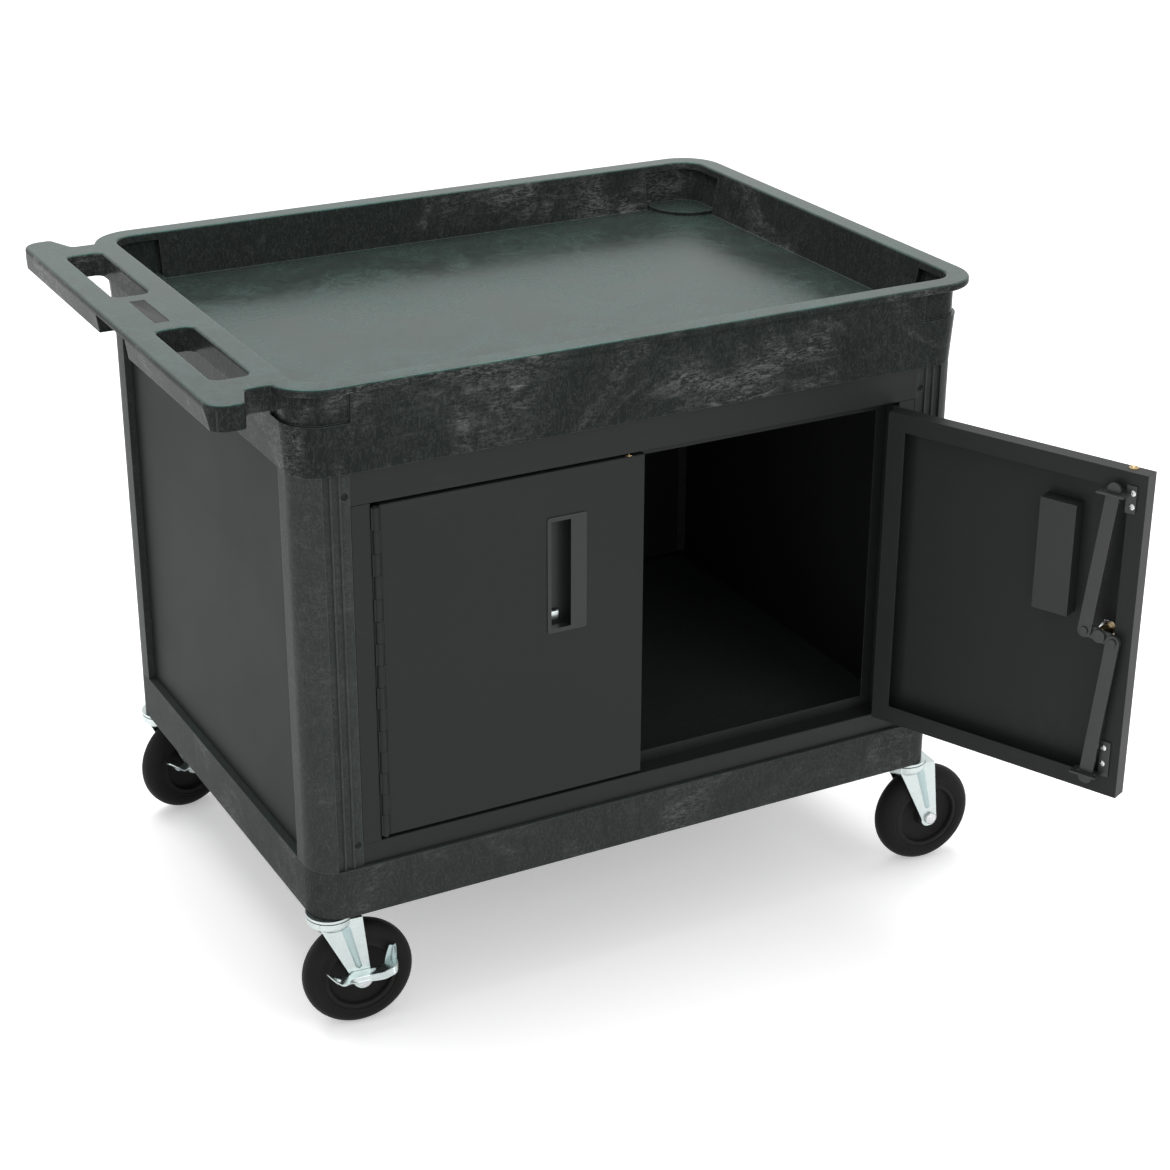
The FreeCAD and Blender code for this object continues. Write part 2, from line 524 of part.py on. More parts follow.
def hinge_leaf(label, side, moving):
    """One leaf of a hinge with every second knuckle, bored for the pin."""
    leaf = new_body(label)
    away = 1 if moving else -1
    edge = signed(away, LEAF_OUT)
    slab(leaf, side, (signed(away, LEAF_IN), edge), ("0", "leaf_w"), (HINGE_LOW, HINGE_TOP),
         name="Leaf")
    first = "%s + %s" % (HINGE_LOW, KNUCKLE if moving else "0")
    length = "%s - knuckle_gap" % KNUCKLE
    barrel = round_bar(leaf, ("0", "0", first + " + knuckle_gap/2"), "z", "barrel_r", length, name="Knuckle")
    curl = block(leaf, ("0", "-leaf_t", first + " + knuckle_gap/2"),
                 (signed(side * away, LEAF_OUT), "leaf_t", first + " + knuckle_gap/2 + " + length),
                 name="Curl")
    row = leaf.newObject("PartDesign::LinearPattern", "Knuckles")
    row.Originals = [barrel, curl]
    row.Direction = ([item for item in leaf.Origin.OriginFeatures if item.Role == "Z_Axis"][0], [""])
    row.Mode = "Spacing"
    row.setExpression("Offset", bound("2*" + KNUCKLE))
    row.setExpression("Occurrences", bound("floor((knuckles + %d)/2)" % (0 if moving else 1)))
    leaf.Tip = row
    round_bar(leaf, ("0", "0", HINGE_LOW + " - 1"), "z", "pin_r + pin_clear",
              "%s - %s + 2" % (HINGE_TOP, HINGE_LOW), cut=True, name="PinBore")
    on_hinge(leaf, side, moving)


def door_pan(label, side, length):
    pan = new_body(label)
    far = "(%s - %s)" % (length, LEAF_OUT)
    slab(pan, side, (LEAF_OUT, length), ("0", "door_t"), (DOOR_LOW, DOOR_TOP), name="Pan")
    soften(pan, "bend_r", lambda e: abs(e.BoundBox.YMax) < 1e-4, name="FrontFold")
    slab(pan, side, (LEAF_OUT + " + steel", length + " - steel"), ("steel", "door_t - steel"),
         (DOOR_LOW + " + steel", DOOR_TOP + " - steel"), cut=True, name="Inside")
    slab(pan, side, (LEAF_OUT + " + door_lip", length + " - door_lip"), ("door_t - 2*steel", "door_t + 1"),
         (DOOR_LOW + " + door_lip", DOOR_TOP + " - door_lip"), cut=True, name="LipOpening")
    slab(pan, side, ("pull_u + cup_edge - cup_clear", "pull_u + pull_w - cup_edge + cup_clear"),
         ("-1", "2*steel"), ("%s + cup_edge - cup_clear" % PULL_LOW,
                             "%s + pull_h - cup_edge + cup_clear" % PULL_LOW), cut=True, name="PullWindow")
    round_bar(pan, (signed(side, "catch_u"), "catch_v", DOOR_TOP + " - 2*steel"), "z",
              "catch_r + panel_gap", "3*steel", cut=True, name="CatchHole")
    if side == RIGHT:
        round_bar(pan, (signed(side, "lock_u"), "-1", LOCK_Z), "y", "lock_r + lock_clear", "3*steel",
                  cut=True, name="LockHole")
    on_hinge(pan, side)


def pull_cup(label, side):
    """A flush pull: a bezel on the door's face and a cup behind it, half covered by a finger flap."""
    cup = new_body(label)
    u = ("pull_u", "pull_u + pull_w")
    z = (PULL_LOW, PULL_LOW + " + pull_h")
    around = ((u[0], z[0]), (u[1], z[0]), (u[1], z[1]), (u[0], z[1]))
    bezel = [(signed(side, a), b, "pull_r") for a, b in around]
    prism(cup, "XZ_Plane", bezel, "-pull_rim", "pull_rim", name="Bezel")
    slab(cup, side, (u[0] + " + cup_edge", u[1] + " - cup_edge"), ("0", "cup_depth"),
         (z[0] + " + cup_edge", z[1] + " - cup_edge"), name="Cup")
    wall = "(cup_edge + cup_wall)"
    slab(cup, side, ("%s + %s" % (u[0], wall), "%s - %s" % (u[1], wall)), ("0", "cup_depth - cup_wall"),
         ("%s + %s" % (z[0], wall), "%s - %s" % (z[1], wall)), cut=True, name="CupSpace")
    slab(cup, side, (u[0] + " + pull_side", u[1] + " - pull_flap"), ("-pull_rim - 1", "cup_wall"),
         (z[0] + " + pull_end", z[1] + " - pull_end"), cut=True, name="Mouth")
    on_hinge(cup, side)


def ball_catch(word, side):
    """A sprung ball in a barrel that stands in the top fold of the door."""
    barrel = new_body("ball_catch_barrel_" + word)
    at = (signed(side, "catch_u"), "catch_v")
    round_bar(barrel, at + (DOOR_TOP + " - catch_len",), "z", "catch_r", "catch_len", name="Barrel")
    round_bar(barrel, at + (DOOR_TOP,), "z", "catch_lip_r", "catch_lip", name="Lip")
    depth = "(2*ball_r - ball_out + ball_travel)"
    round_bar(barrel, at + ("%s - %s" % (DOOR_TOP, depth),), "z", "ball_r + ball_clear",
              "%s + catch_lip" % depth, cut=True, name="Bore")
    on_hinge(barrel, side)
    ball = new_body("ball_catch_ball_" + word)
    sphere = ball.newObject("PartDesign::AdditiveSphere", "Ball")
    sphere.setExpression("Radius", bound("ball_r"))
    place(ball, in_door(side, "catch_u", "catch_v", "%s + ball_out - ball_r" % DOOR_TOP), DOOR_TURN[side])


for word, side, length in (("left", LEFT, LEFT_LEN), ("right", RIGHT, RIGHT_LEN)):
    hinge_leaf("hinge_frame_leaf_" + word, side, False)
    hinge_leaf("hinge_door_leaf_" + word, side, True)
    pin = new_body("hinge_pin_" + word)
    round_bar(pin, ("0", "0", HINGE_LOW + " - pin_head"), "z", "pin_r",
              "%s - %s + 2*pin_head" % (HINGE_TOP, HINGE_LOW), name="Pin")
    for low in (HINGE_LOW + " - pin_head - knuckle_gap/2", HINGE_TOP + " + knuckle_gap/2"):
        round_bar(pin, ("0", "0", low), "z", "pin_head_r", "pin_head", name="Head")
    on_hinge(pin, side, moving=False)
    door_pan("door_pan_" + word, side, length)
    pull_cup("pull_cup_" + word, side)
    ball_catch(word, side)

# --- lock of the right door, with a cam bar and two rods that slide behind the frame's stops -------
lock = new_body("lock_body")
round_bar(lock, ("0", "-lock_head", "0"), "y", "lock_head_r", "lock_head", name="Head")
round_bar(lock, ("0", "0", "0"), "y", "lock_r", "lock_len", name="Barrel")
round_bar(lock, ("0", "-lock_head - 1", "0"), "y", "plug_r + plug_clear", "lock_head + lock_len + 2",
          cut=True, name="PlugBore")
place(lock, in_door(RIGHT, "lock_u", "0", LOCK_Z), "door_open")

nut = new_body("lock_nut")
ring = ["(nut_af/2/cos(30deg))*%s(%d*1deg)" % (f, a) for a in range(0, 360, 60) for f in ("cos", "sin")]
prism(nut, "XZ_Plane", list(zip(ring[0::2], ring[1::2])), "steel", "nut_t", name="Hexagon")
round_bar(nut, ("0", "0", "0"), "y", "lock_r + plug_clear", "2*steel + nut_t", cut=True, name="Bore")
place(nut, in_door(RIGHT, "lock_u", "0", LOCK_Z), "door_open")

cam = new_body("lock_cam")
round_bar(cam, ("0", "-lock_head", "0"), "y", "plug_r", "lock_head + %s" % CAM_V, name="Plug")
along = "(cam_arm + cam_w/2)"
ends = [("-" + along, "-cam_w/2", "cam_w/2 - 0.1"), (along, "-cam_w/2", "cam_w/2 - 0.1"),
        (along, "cam_w/2", "cam_w/2 - 0.1"), ("-" + along, "cam_w/2", "cam_w/2 - 0.1")]
prism(cam, "XZ_Plane", ends, CAM_V, "cam_t", name="Bar")
round_bar(cam, ("0", CAM_V, "0"), "y", "lock_r", "cam_t + cam_hub", name="Hub")
for sign in (1, -1):
    x = signed(sign, "cam_arm")
    round_bar(cam, (x, CAM_V, "0"), "y", "pivot_r", "cam_t + rod_t + 2*rod_gap", name="Pivot")
    round_bar(cam, (x, ROD_V + " + rod_t + rod_gap", "0"), "y", "cap_r", "cap_t", name="Cap")


def tilted(piece, at, tilt):
    """Stand a piece of the open right door that is also turned in the plane of the door."""
    swing = FreeCAD.Rotation(FreeCAD.Vector(0, 0, 1), number("door_open"))
    lean = FreeCAD.Rotation(FreeCAD.Vector(0, 1, 0), tilt)
    piece.Placement = FreeCAD.Placement(FreeCAD.Vector(), swing.multiply(lean))
    for axis, text in zip("xyz", at):
        piece.setExpression("Placement.Base." + axis, bound("%s + %s" % (text, SHIFT[axis])))


tilted(cam, in_door(RIGHT, "lock_u", "0", LOCK_Z), -number("cam_tilt"))

RODS = (("upper", -1, "%s - tip_in" % DOOR_TOP, 1), ("lower", 1, "%s + tip_in" % DOOR_LOW, -1))
for word, hand, tip, up in RODS:
    # hand tells which end of the cam bar: -1 towards the hinge, 1 towards the free edge
    pin_u = "(lock_u %s cam_arm*cos(cam_tilt*1deg))" % ("+" if hand > 0 else "-")
    pin_z = "(%s %s cam_arm*sin(cam_tilt*1deg))" % (LOCK_Z, "-" if hand > 0 else "+")
    rise = "abs(%s - %s)" % (tip, pin_z)
    lean = "atan((guide_u - %s)/(%s - guide_drop + tip_in))" % (pin_u, rise)
    angle = number(lean)
    bar = new_body("latch_rod_" + word)
    reach = "(%s/cos(%s))" % (rise, lean)
    eye_end, tip_end = signed(-up, "rod_w/2"), signed(up, reach)
    shape = [("-rod_w/2", eye_end, "rod_w/2 - 0.1"), ("rod_w/2", eye_end, "rod_w/2 - 0.1"),
             ("rod_w/2", tip_end, "rod_w/2 - 1"), ("-rod_w/2", tip_end, "rod_w/2 - 1")]
    prism(bar, "XZ_Plane", shape, ROD_V, "rod_t", name="Bar")
    round_bar(bar, ("0", ROD_V + " - 1", "0"), "y", "pivot_r + pin_clear", "rod_t + 2", cut=True, name="Eye")
    tilted(bar, in_door(RIGHT, pin_u, "0", pin_z), -up * angle)

UPPER_GUIDE = "(%s - guide_drop)" % DOOR_TOP
LOWER_GUIDE = "(%s + guide_drop)" % DOOR_LOW
for word, height, below, above in (("upper", UPPER_GUIDE, "guide_foot", "guide_short"),
                                   ("lower", LOWER_GUIDE, "guide_t/2", "guide_long")):
    guide = new_body("rod_guide_" + word)
    leg = ("guide_leg_u", "guide_leg_u + guide_leg_w")
    span = ("%s - %s" % (height, below), "%s + %s" % (height, above))
    slab(guide, RIGHT, leg, ("door_t", "door_t + guide_t"), span, name="Foot")
    slab(guide, RIGHT, ("guide_from", "guide_leg_u + guide_leg_w/3"), ("door_t", "door_t + guide_reach"),
         (height + " - guide_t/2", height + " + guide_t/2"), name="Arm")
    slab(guide, RIGHT, ("guide_u - rod_w/2 - guide_slot", "guide_u + rod_w/2 + guide_slot"),
         (ROD_V + " - rod_gap", ROD_V + " + rod_t + rod_gap"), (height + " - guide_t", height + " + guide_t"),
         cut=True, name="Slot")
    on_hinge(guide, RIGHT)


# --- screw heads -----------------------------------------------------------------------------------
def heads(label, spots, axis):
    """A group of domed screw heads; each spot is where a head starts, along +axis."""
    group = doc.addObject("Part::MultiFuse", label)
    group.Label = label
    shapes = []
    for i, at in enumerate(spots):
        head = doc.addObject("Part::Cylinder", label + "_head")
        head.Placement = FreeCAD.Placement(FreeCAD.Vector(), TOWARDS[axis])
        head.setExpression("Radius", bound("screw_r"))
        head.setExpression("Height", bound("screw_h"))
        for letter, text in zip("xyz", at):
            head.setExpression("Placement.Base." + letter, bound(text))
        shapes.append(head)
    group.Shapes = shapes
    pieces.append(group)
    return group


post_spots = []
for sx, sy in CORNERS:
    y = signed(sy, "%s - frame_set - screw_sink" % HALF_D)
    y = "%s - screw_h" % y if sy < 0 else y
    for height in ("base_top + post_screw_z", "tub_bottom - post_screw_z"):
        post_spots.append((signed(sx, "%s - post_screw_x" % HALF_W), y, height))
place(heads("post_screws", post_spots, "y"))

hinge_spots = []
for sx in (-1, 1):
    x = signed(sx, "%s + %s" % (HINGE_X, LEAF_IN))
    x = "%s - screw_h" % x if sx > 0 else x
    for i in range(3):
        hinge_spots.append((x, FACE_Y + " + hinge_screw_v",
                            "%s + hinge_screw_z + %d*hinge_screw_pitch" % (DOOR_LOW, i)))
place(heads("hinge_screws", hinge_spots, "x"))

guide_spots = []
for u, z in (("2*guide_leg_w/3", "%s + guide_short - guide_screw_in" % UPPER_GUIDE),
             ("2*guide_leg_w/3", "%s - guide_foot + guide_screw_in" % UPPER_GUIDE),
             ("guide_leg_w/3", "%s + guide_long - guide_screw_in" % LOWER_GUIDE),
             ("guide_leg_w/3", "%s + guide_step" % LOWER_GUIDE)):
    guide_spots.append(("-(guide_leg_u + %s)" % u, "door_t + guide_t", z))
on_hinge(heads("guide_screws", guide_spots, "y"), RIGHT)

# --- casters: a raceway plate and stem in the base, a swivelling fork, axle, hub and tyre ----------
for sx, sy in CORNERS:
    word = "%s_%s" % ("front" if sy < 0 else "back", "left" if sx < 0 else "right")
    turn = "head_" + word
    pivot = (signed(sx, "caster_x"), signed(sy, "caster_y"))
    hub_at = ("%s + trail*cos(%s*1deg)" % (pivot[0], turn), "%s + trail*sin(%s*1deg)" % (pivot[1], turn))
    braked = sx < 0

    race = new_body("caster_race_" + word)
    round_bar(race, ("0", "0", "base_bottom - race_h"), "z", "plate_r", "race_h", name="Race")
    nut_top = "(%s - yoke_h - race_gap)" % FORK_TOP
    round_bar(race, ("0", "0", nut_top + " - kingpin_nut"), "z", "kingpin_r",
              "base_bottom + kingpin_up - %s + kingpin_nut" % nut_top, name="Kingpin")
    round_bar(race, ("0", "0", nut_top + " - kingpin_nut"), "z", "nut_r", "kingpin_nut", name="Nut")
    place(race, pivot + ("0",))

    yoke = new_body("caster_yoke_" + word)
    round_bar(yoke, ("0", "0", FORK_TOP + " - yoke_h"), "z", "plate_r", "yoke_h", name="Race")
    side = "(fork_gap/2 + fork_t)"
    block(yoke, ("-fork_front", "-" + side, FORK_TOP + " - fork_t"), ("trail + fork_back", side, FORK_TOP),
          name="Crown")
    leg = [("-fork_front", FORK_TOP, "1"), ("trail + fork_back", FORK_TOP, "1"),
           ("trail + fork_foot", "wheel_r - fork_foot", "0.85*fork_foot"),
           ("trail - fork_foot", "wheel_r - fork_foot", "0.85*fork_foot"),
           ("trail - fork_foot", "wheel_r", "fork_foot"),
           ("-fork_front", FORK_TOP + " - yoke_h")]
    for low in ("-" + side, "fork_gap/2"):
        prism(yoke, "XZ_Plane", leg, low, "fork_t", name="Leg")
        round_bar(yoke, ("trail", low + " - 1", "wheel_r"), "y", "axle_r + axle_clear", "fork_t + 2",
                  cut=True, name="AxleHole")
    round_bar(yoke, ("0", "0", FORK_TOP + " - yoke_h - 1"), "z", "kingpin_r + kingpin_clear", "yoke_h + 2",
              cut=True, name="KingpinHole")
    place(yoke, pivot + ("0",), turn)

    axle = new_body("caster_axle_" + word)
    near = "(%s + fork_clear%s)" % (side, " + 2*pedal_clear + pedal_t" if braked else "")
    far = "(%s + fork_clear)" % side
    round_bar(axle, ("0", "-" + near, "0"), "y", "axle_r", "%s + %s" % (near, far), name="Shank")
    round_bar(axle, ("0", "-%s - axle_head" % near, "0"), "y", "axle_head_r", "axle_head", name="Head")
    round_bar(axle, ("0", far, "0"), "y", "axle_head_r", "axle_head", name="AxleNut")
    place(axle, hub_at + ("wheel_r",), turn)

    hub = new_body("caster_hub_" + word)
    bore = "axle_r + axle_clear"
    revolve(hub, [(bore, "-hub_w/2"), ("boss_r", "-hub_w/2"), ("boss_r", "-hub_web/2"),
                  ("hub_r - hub_rim", "-hub_web/2"), ("hub_r - hub_rim", "1 - wheel_w/2"),
                  ("hub_r", "1 - wheel_w/2"), ("hub_r", "wheel_w/2 - 1"),
                  ("hub_r - hub_rim", "wheel_w/2 - 1"), ("hub_r - hub_rim", "hub_web/2"),
                  ("boss_r", "hub_web/2"), ("boss_r", "hub_w/2"), (bore, "hub_w/2")])
    place(hub, hub_at + ("wheel_r",), turn)

    tyre = new_body("caster_tyre_" + word)
    revolve(tyre, [("hub_r", "-wheel_w/2"), ("wheel_r", "-wheel_w/2", "tread_r"),
                   ("wheel_r", "wheel_w/2", "tread_r"), ("hub_r", "wheel_w/2")])
    place(tyre, hub_at + ("wheel_r",), turn)

    if braked:
        pedal = new_body("brake_pedal_" + word)
        y = "-(%s + pedal_t)" % PEDAL_Y
        plate = [("-pedal_r", "-pedal_r", "pedal_r - 1"), ("pedal_r", "-pedal_r", "pedal_r - 1"),
                 ("pedal_r + 14", "pedal_z + 4"), ("-pedal_r - 14", "pedal_z + 2")]
        prism(pedal, "XZ_Plane", plate, y, "pedal_t", name="Cheek")
        tread = [("-pedal_back", "pedal_z + 13"), ("-pedal_back", "pedal_z + 3", "5"),
                 ("-pedal_back + 14", "pedal_z", "9"), ("8", "pedal_z", "20"),
                 ("pedal_front", "pedal_z + 8"), ("pedal_front", "pedal_z + 8 + pedal_t"),
                 ("8", "pedal_z + pedal_t", "20"), ("-pedal_back + 14", "pedal_z + pedal_t", "9"),
                 ("-pedal_back + pedal_t", "pedal_z + 3 + pedal_t", "3"),
                 ("-pedal_back + pedal_t", "pedal_z + 13")]
        prism(pedal, "XZ_Plane", tread, "%s - pedal_w" % y, "pedal_w + pedal_t", name="Tread")
        block(pedal, ("tab_x", y, "pedal_z + 6"), ("tab_x + tab_w", y + " + pedal_t", "tab_h"), name="Tab")
        round_bar(pedal, ("0", y + " - 1", "0"), "y", "axle_r + axle_clear", "pedal_t + 2", cut=True,
                  name="AxleHole")
        place(pedal, hub_at + ("wheel_r",), turn)

# --- checks and export -----------------------------------------------------------------------------
doc.recompute()
for item in doc.Objects:
    if "Invalid" in item.State or "Error" in item.State:
        raise RuntimeError("%s did not build" % item.Label)
os.makedirs("parts", exist_ok=True)
for piece in pieces:
    if piece.Shape.isNull() or not piece.Shape.isValid() or not piece.Shape.Solids:
        raise RuntimeError("%s has no valid solid" % piece.Label)
    piece.Shape.exportStep("parts/%s.step" % piece.Label)
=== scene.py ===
import json
import math

import bmesh
import bpy
from bpy.props import FloatProperty, FloatVectorProperty, IntProperty, PointerProperty
from mathutils import Matrix, Vector


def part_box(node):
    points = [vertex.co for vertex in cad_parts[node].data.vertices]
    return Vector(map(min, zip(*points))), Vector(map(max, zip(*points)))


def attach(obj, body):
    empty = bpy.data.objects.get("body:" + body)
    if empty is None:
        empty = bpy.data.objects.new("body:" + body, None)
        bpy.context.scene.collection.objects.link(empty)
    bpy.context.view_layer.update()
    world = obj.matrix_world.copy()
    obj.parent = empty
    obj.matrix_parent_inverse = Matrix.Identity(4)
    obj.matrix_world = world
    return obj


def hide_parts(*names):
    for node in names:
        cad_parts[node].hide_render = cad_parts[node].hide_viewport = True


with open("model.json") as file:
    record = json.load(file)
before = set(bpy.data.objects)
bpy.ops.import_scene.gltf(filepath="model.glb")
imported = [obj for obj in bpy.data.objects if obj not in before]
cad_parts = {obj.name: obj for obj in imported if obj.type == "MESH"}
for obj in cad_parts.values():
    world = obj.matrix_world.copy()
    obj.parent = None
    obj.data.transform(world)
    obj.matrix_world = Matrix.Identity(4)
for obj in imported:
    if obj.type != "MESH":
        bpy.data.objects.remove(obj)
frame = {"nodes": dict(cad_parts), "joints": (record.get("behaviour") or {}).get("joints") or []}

bl_info = {
    "name": "Microwave Cart",
    "version": (1, 0, 0),
    "blender": (4, 5, 0),
    "location": "3D View > Sidebar > Cart",
    "description": "Finishes and details a wheeled cart with a moulded tub and a steel cabinet",
    "category": "Object",
}

MM = 0.001
NODES = frame["nodes"]
JOINTS = {joint["name"]: joint for joint in frame["joints"]}
CORNERS = ("front_left", "front_right", "back_left", "back_right")
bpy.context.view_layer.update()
CENTRE_X = JOINTS["door_left_hinge"]["pos_m"][0] / 2 + JOINTS["door_right_hinge"]["pos_m"][0] / 2
FRONT_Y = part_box("base_shelf")[0].y
CENTRE_Y = (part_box("base_shelf")[0].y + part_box("base_shelf")[1].y) / 2
CREASE_X = 0.251  # the two moulding creases of the tub's walls, from the middle
GREEN_SHEEN = (0.35, 1.0, 0.85, 1)


# --- sizes and colours that a user would change ----------------------------------------------------
def colour(name, note, rgb):
    return FloatVectorProperty(name=name, description=note, default=rgb, subtype="COLOR", size=3,
                               min=0, max=1)


def length(name, note, metres):
    return FloatProperty(name=name, description=note, default=metres, unit="LENGTH", min=0)


class CartFinish(bpy.types.PropertyGroup):
    moulding: colour("Moulding", "Black structural plastic of the tub and base", (0.0150, 0.0162, 0.0155))
    # the bloom colour is real mottling, and is also a painted sheen: it is laid on most where the moulding
    # faces up
    bloom_and_sheen: colour("Bloom", "Grey-green bloom that lies on the moulding", (0.020, 0.036, 0.031))
    steel: colour("Steel coat", "Black powder coat of the cabinet", (0.0145, 0.0160, 0.0153))
    zinc: colour("Zinc", "Bright zinc of the forks and pedals", (0.62, 0.69, 0.68))
    brass: colour("Brass", "Ball catches and the lock's barrel", (0.62, 0.46, 0.24))
    plate: colour("Plated screws", "Plated screws and nuts", (0.70, 0.71, 0.72))
    rubber: colour("Rubber", "Tyres", (0.0105, 0.0105, 0.0103))
    grain_scale: FloatProperty(name="Grain", description="Density of the fine grain on the moulding",
                               default=900, min=1)
    peel_scale: FloatProperty(name="Orange peel", description="Density of the powder coat's texture",
                              default=620, min=1)


class CartDetail(bpy.types.PropertyGroup):
    screw_radius: length("Screw head", "Radius of the domed screw heads", 3.4 * MM)
    screw_height: length("Screw dome", "Height of the domed screw heads", 1.2 * MM)
    recess_width: length("Recess", "Width of one arm of the cross recess", 1.0 * MM)
    nut_chamfer: length("Nut chamfer", "Chamfer of the hexagon nuts", 0.8 * MM)
    fork_press: length("Fork rib", "Depth of the rib pressed into each fork leg", 1.2 * MM)
    turn_steps: IntProperty(name="Turned steps", description="Segments around each wheel", default=96, min=12)


class CartStage(bpy.types.PropertyGroup):
    floor: colour("Floor", "Plain pale floor", (0.97, 0.97, 0.97))
    floor_size: length("Floor size", "Side of the floor", 60)
    floor_glow: FloatProperty(name="Floor white", default=0.34, min=0,
                              description="Lift of the floor towards white in the picture")
    lamp_power: FloatProperty(name="Lamp", description="Power of the soft lamp overhead", default=100,
                              unit="POWER", min=0)
    fill_power: FloatProperty(name="Fill", description="Power of the soft lamp in front", default=26,
                              unit="POWER", min=0)
    sky: FloatProperty(name="Surroundings", description="Strength of the even surrounding light",
                       default=0.72, min=0)
    camera_at: FloatVectorProperty(name="Camera", description="Place of the camera", subtype="TRANSLATION",
                                   unit="LENGTH", default=(-1.20956, -2.27607, 1.5650))
    camera_yaw: FloatProperty(name="Camera yaw", description="Turn of the camera about +Z", unit="ROTATION",
                              default=-0.4944)
    camera_pitch: FloatProperty(name="Camera pitch", description="How far the camera looks down",
                                unit="ROTATION", default=0.4221)
    camera_roll: FloatProperty(name="Camera roll", description="Turn about the line of sight",
                               unit="ROTATION", default=0.0041)
    lens: FloatProperty(name="Lens", description="Focal length on a 36 mm sensor, in millimetres",
                        default=74.68, min=1)


# --- shader node groups ----------------------------------------------------------------------------
def add(tree, kind, links=None, **settings):
    """A node with its settings, and its inputs fed from sockets or set to values."""
    node = tree.nodes.new(kind)
    for key, value in settings.items():
        setattr(node, key, value)
    for key, value in (links or {}).items():
        if isinstance(value, bpy.types.NodeSocket):
            tree.links.new(value, node.inputs[key])
        else:
            node.inputs[key].default_value = value
    return node


def new_group(name, inputs, outputs):
    group = bpy.data.node_groups.new(name, "ShaderNodeTree")
    for label, kind, value in inputs:
        socket = group.interface.new_socket(label, in_out="INPUT", socket_type=kind)
        if value is not None:
            socket.default_value = value
    for label, kind in outputs:
        group.interface.new_socket(label, in_out="OUTPUT", socket_type=kind)
    return group, group.nodes.new("NodeGroupInput").outputs, group.nodes.new("NodeGroupOutput").inputs


def ramp(tree, source, low, high):
    """0 below low, 1 above high, eased between."""
    return add(tree, "ShaderNodeMapRange", {"Value": source, "From Min": low, "From Max": high},
               interpolation_type="SMOOTHSTEP").outputs["Result"]


def maths(tree, operation, first, second=0.0):
    return add(tree, "ShaderNodeMath", {0: first, 1: second}, operation=operation).outputs[0]


def blend(tree, factor, first, second, mode="MIX"):
    node = add(tree, "ShaderNodeMix", data_type="RGBA", blend_type=mode)
    for socket, value in ((node.inputs[0], factor), (node.inputs[6], first), (node.inputs[7], second)):
        if isinstance(value, bpy.types.NodeSocket):
            tree.links.new(value, socket)
        else:
            socket.default_value = value
    return node.outputs[2]


def noise(tree, vector, scale, detail=2.0, rough=0.5, distortion=0.0, stretch=None):
    if stretch:
        vector = add(tree, "ShaderNodeMapping", {"Vector": vector, "Scale": stretch}).outputs[0]
    return add(tree, "ShaderNodeTexNoise", {"Vector": vector, "Scale": scale, "Detail": detail,
                                            "Roughness": rough, "Distortion": distortion}).outputs["Fac"]


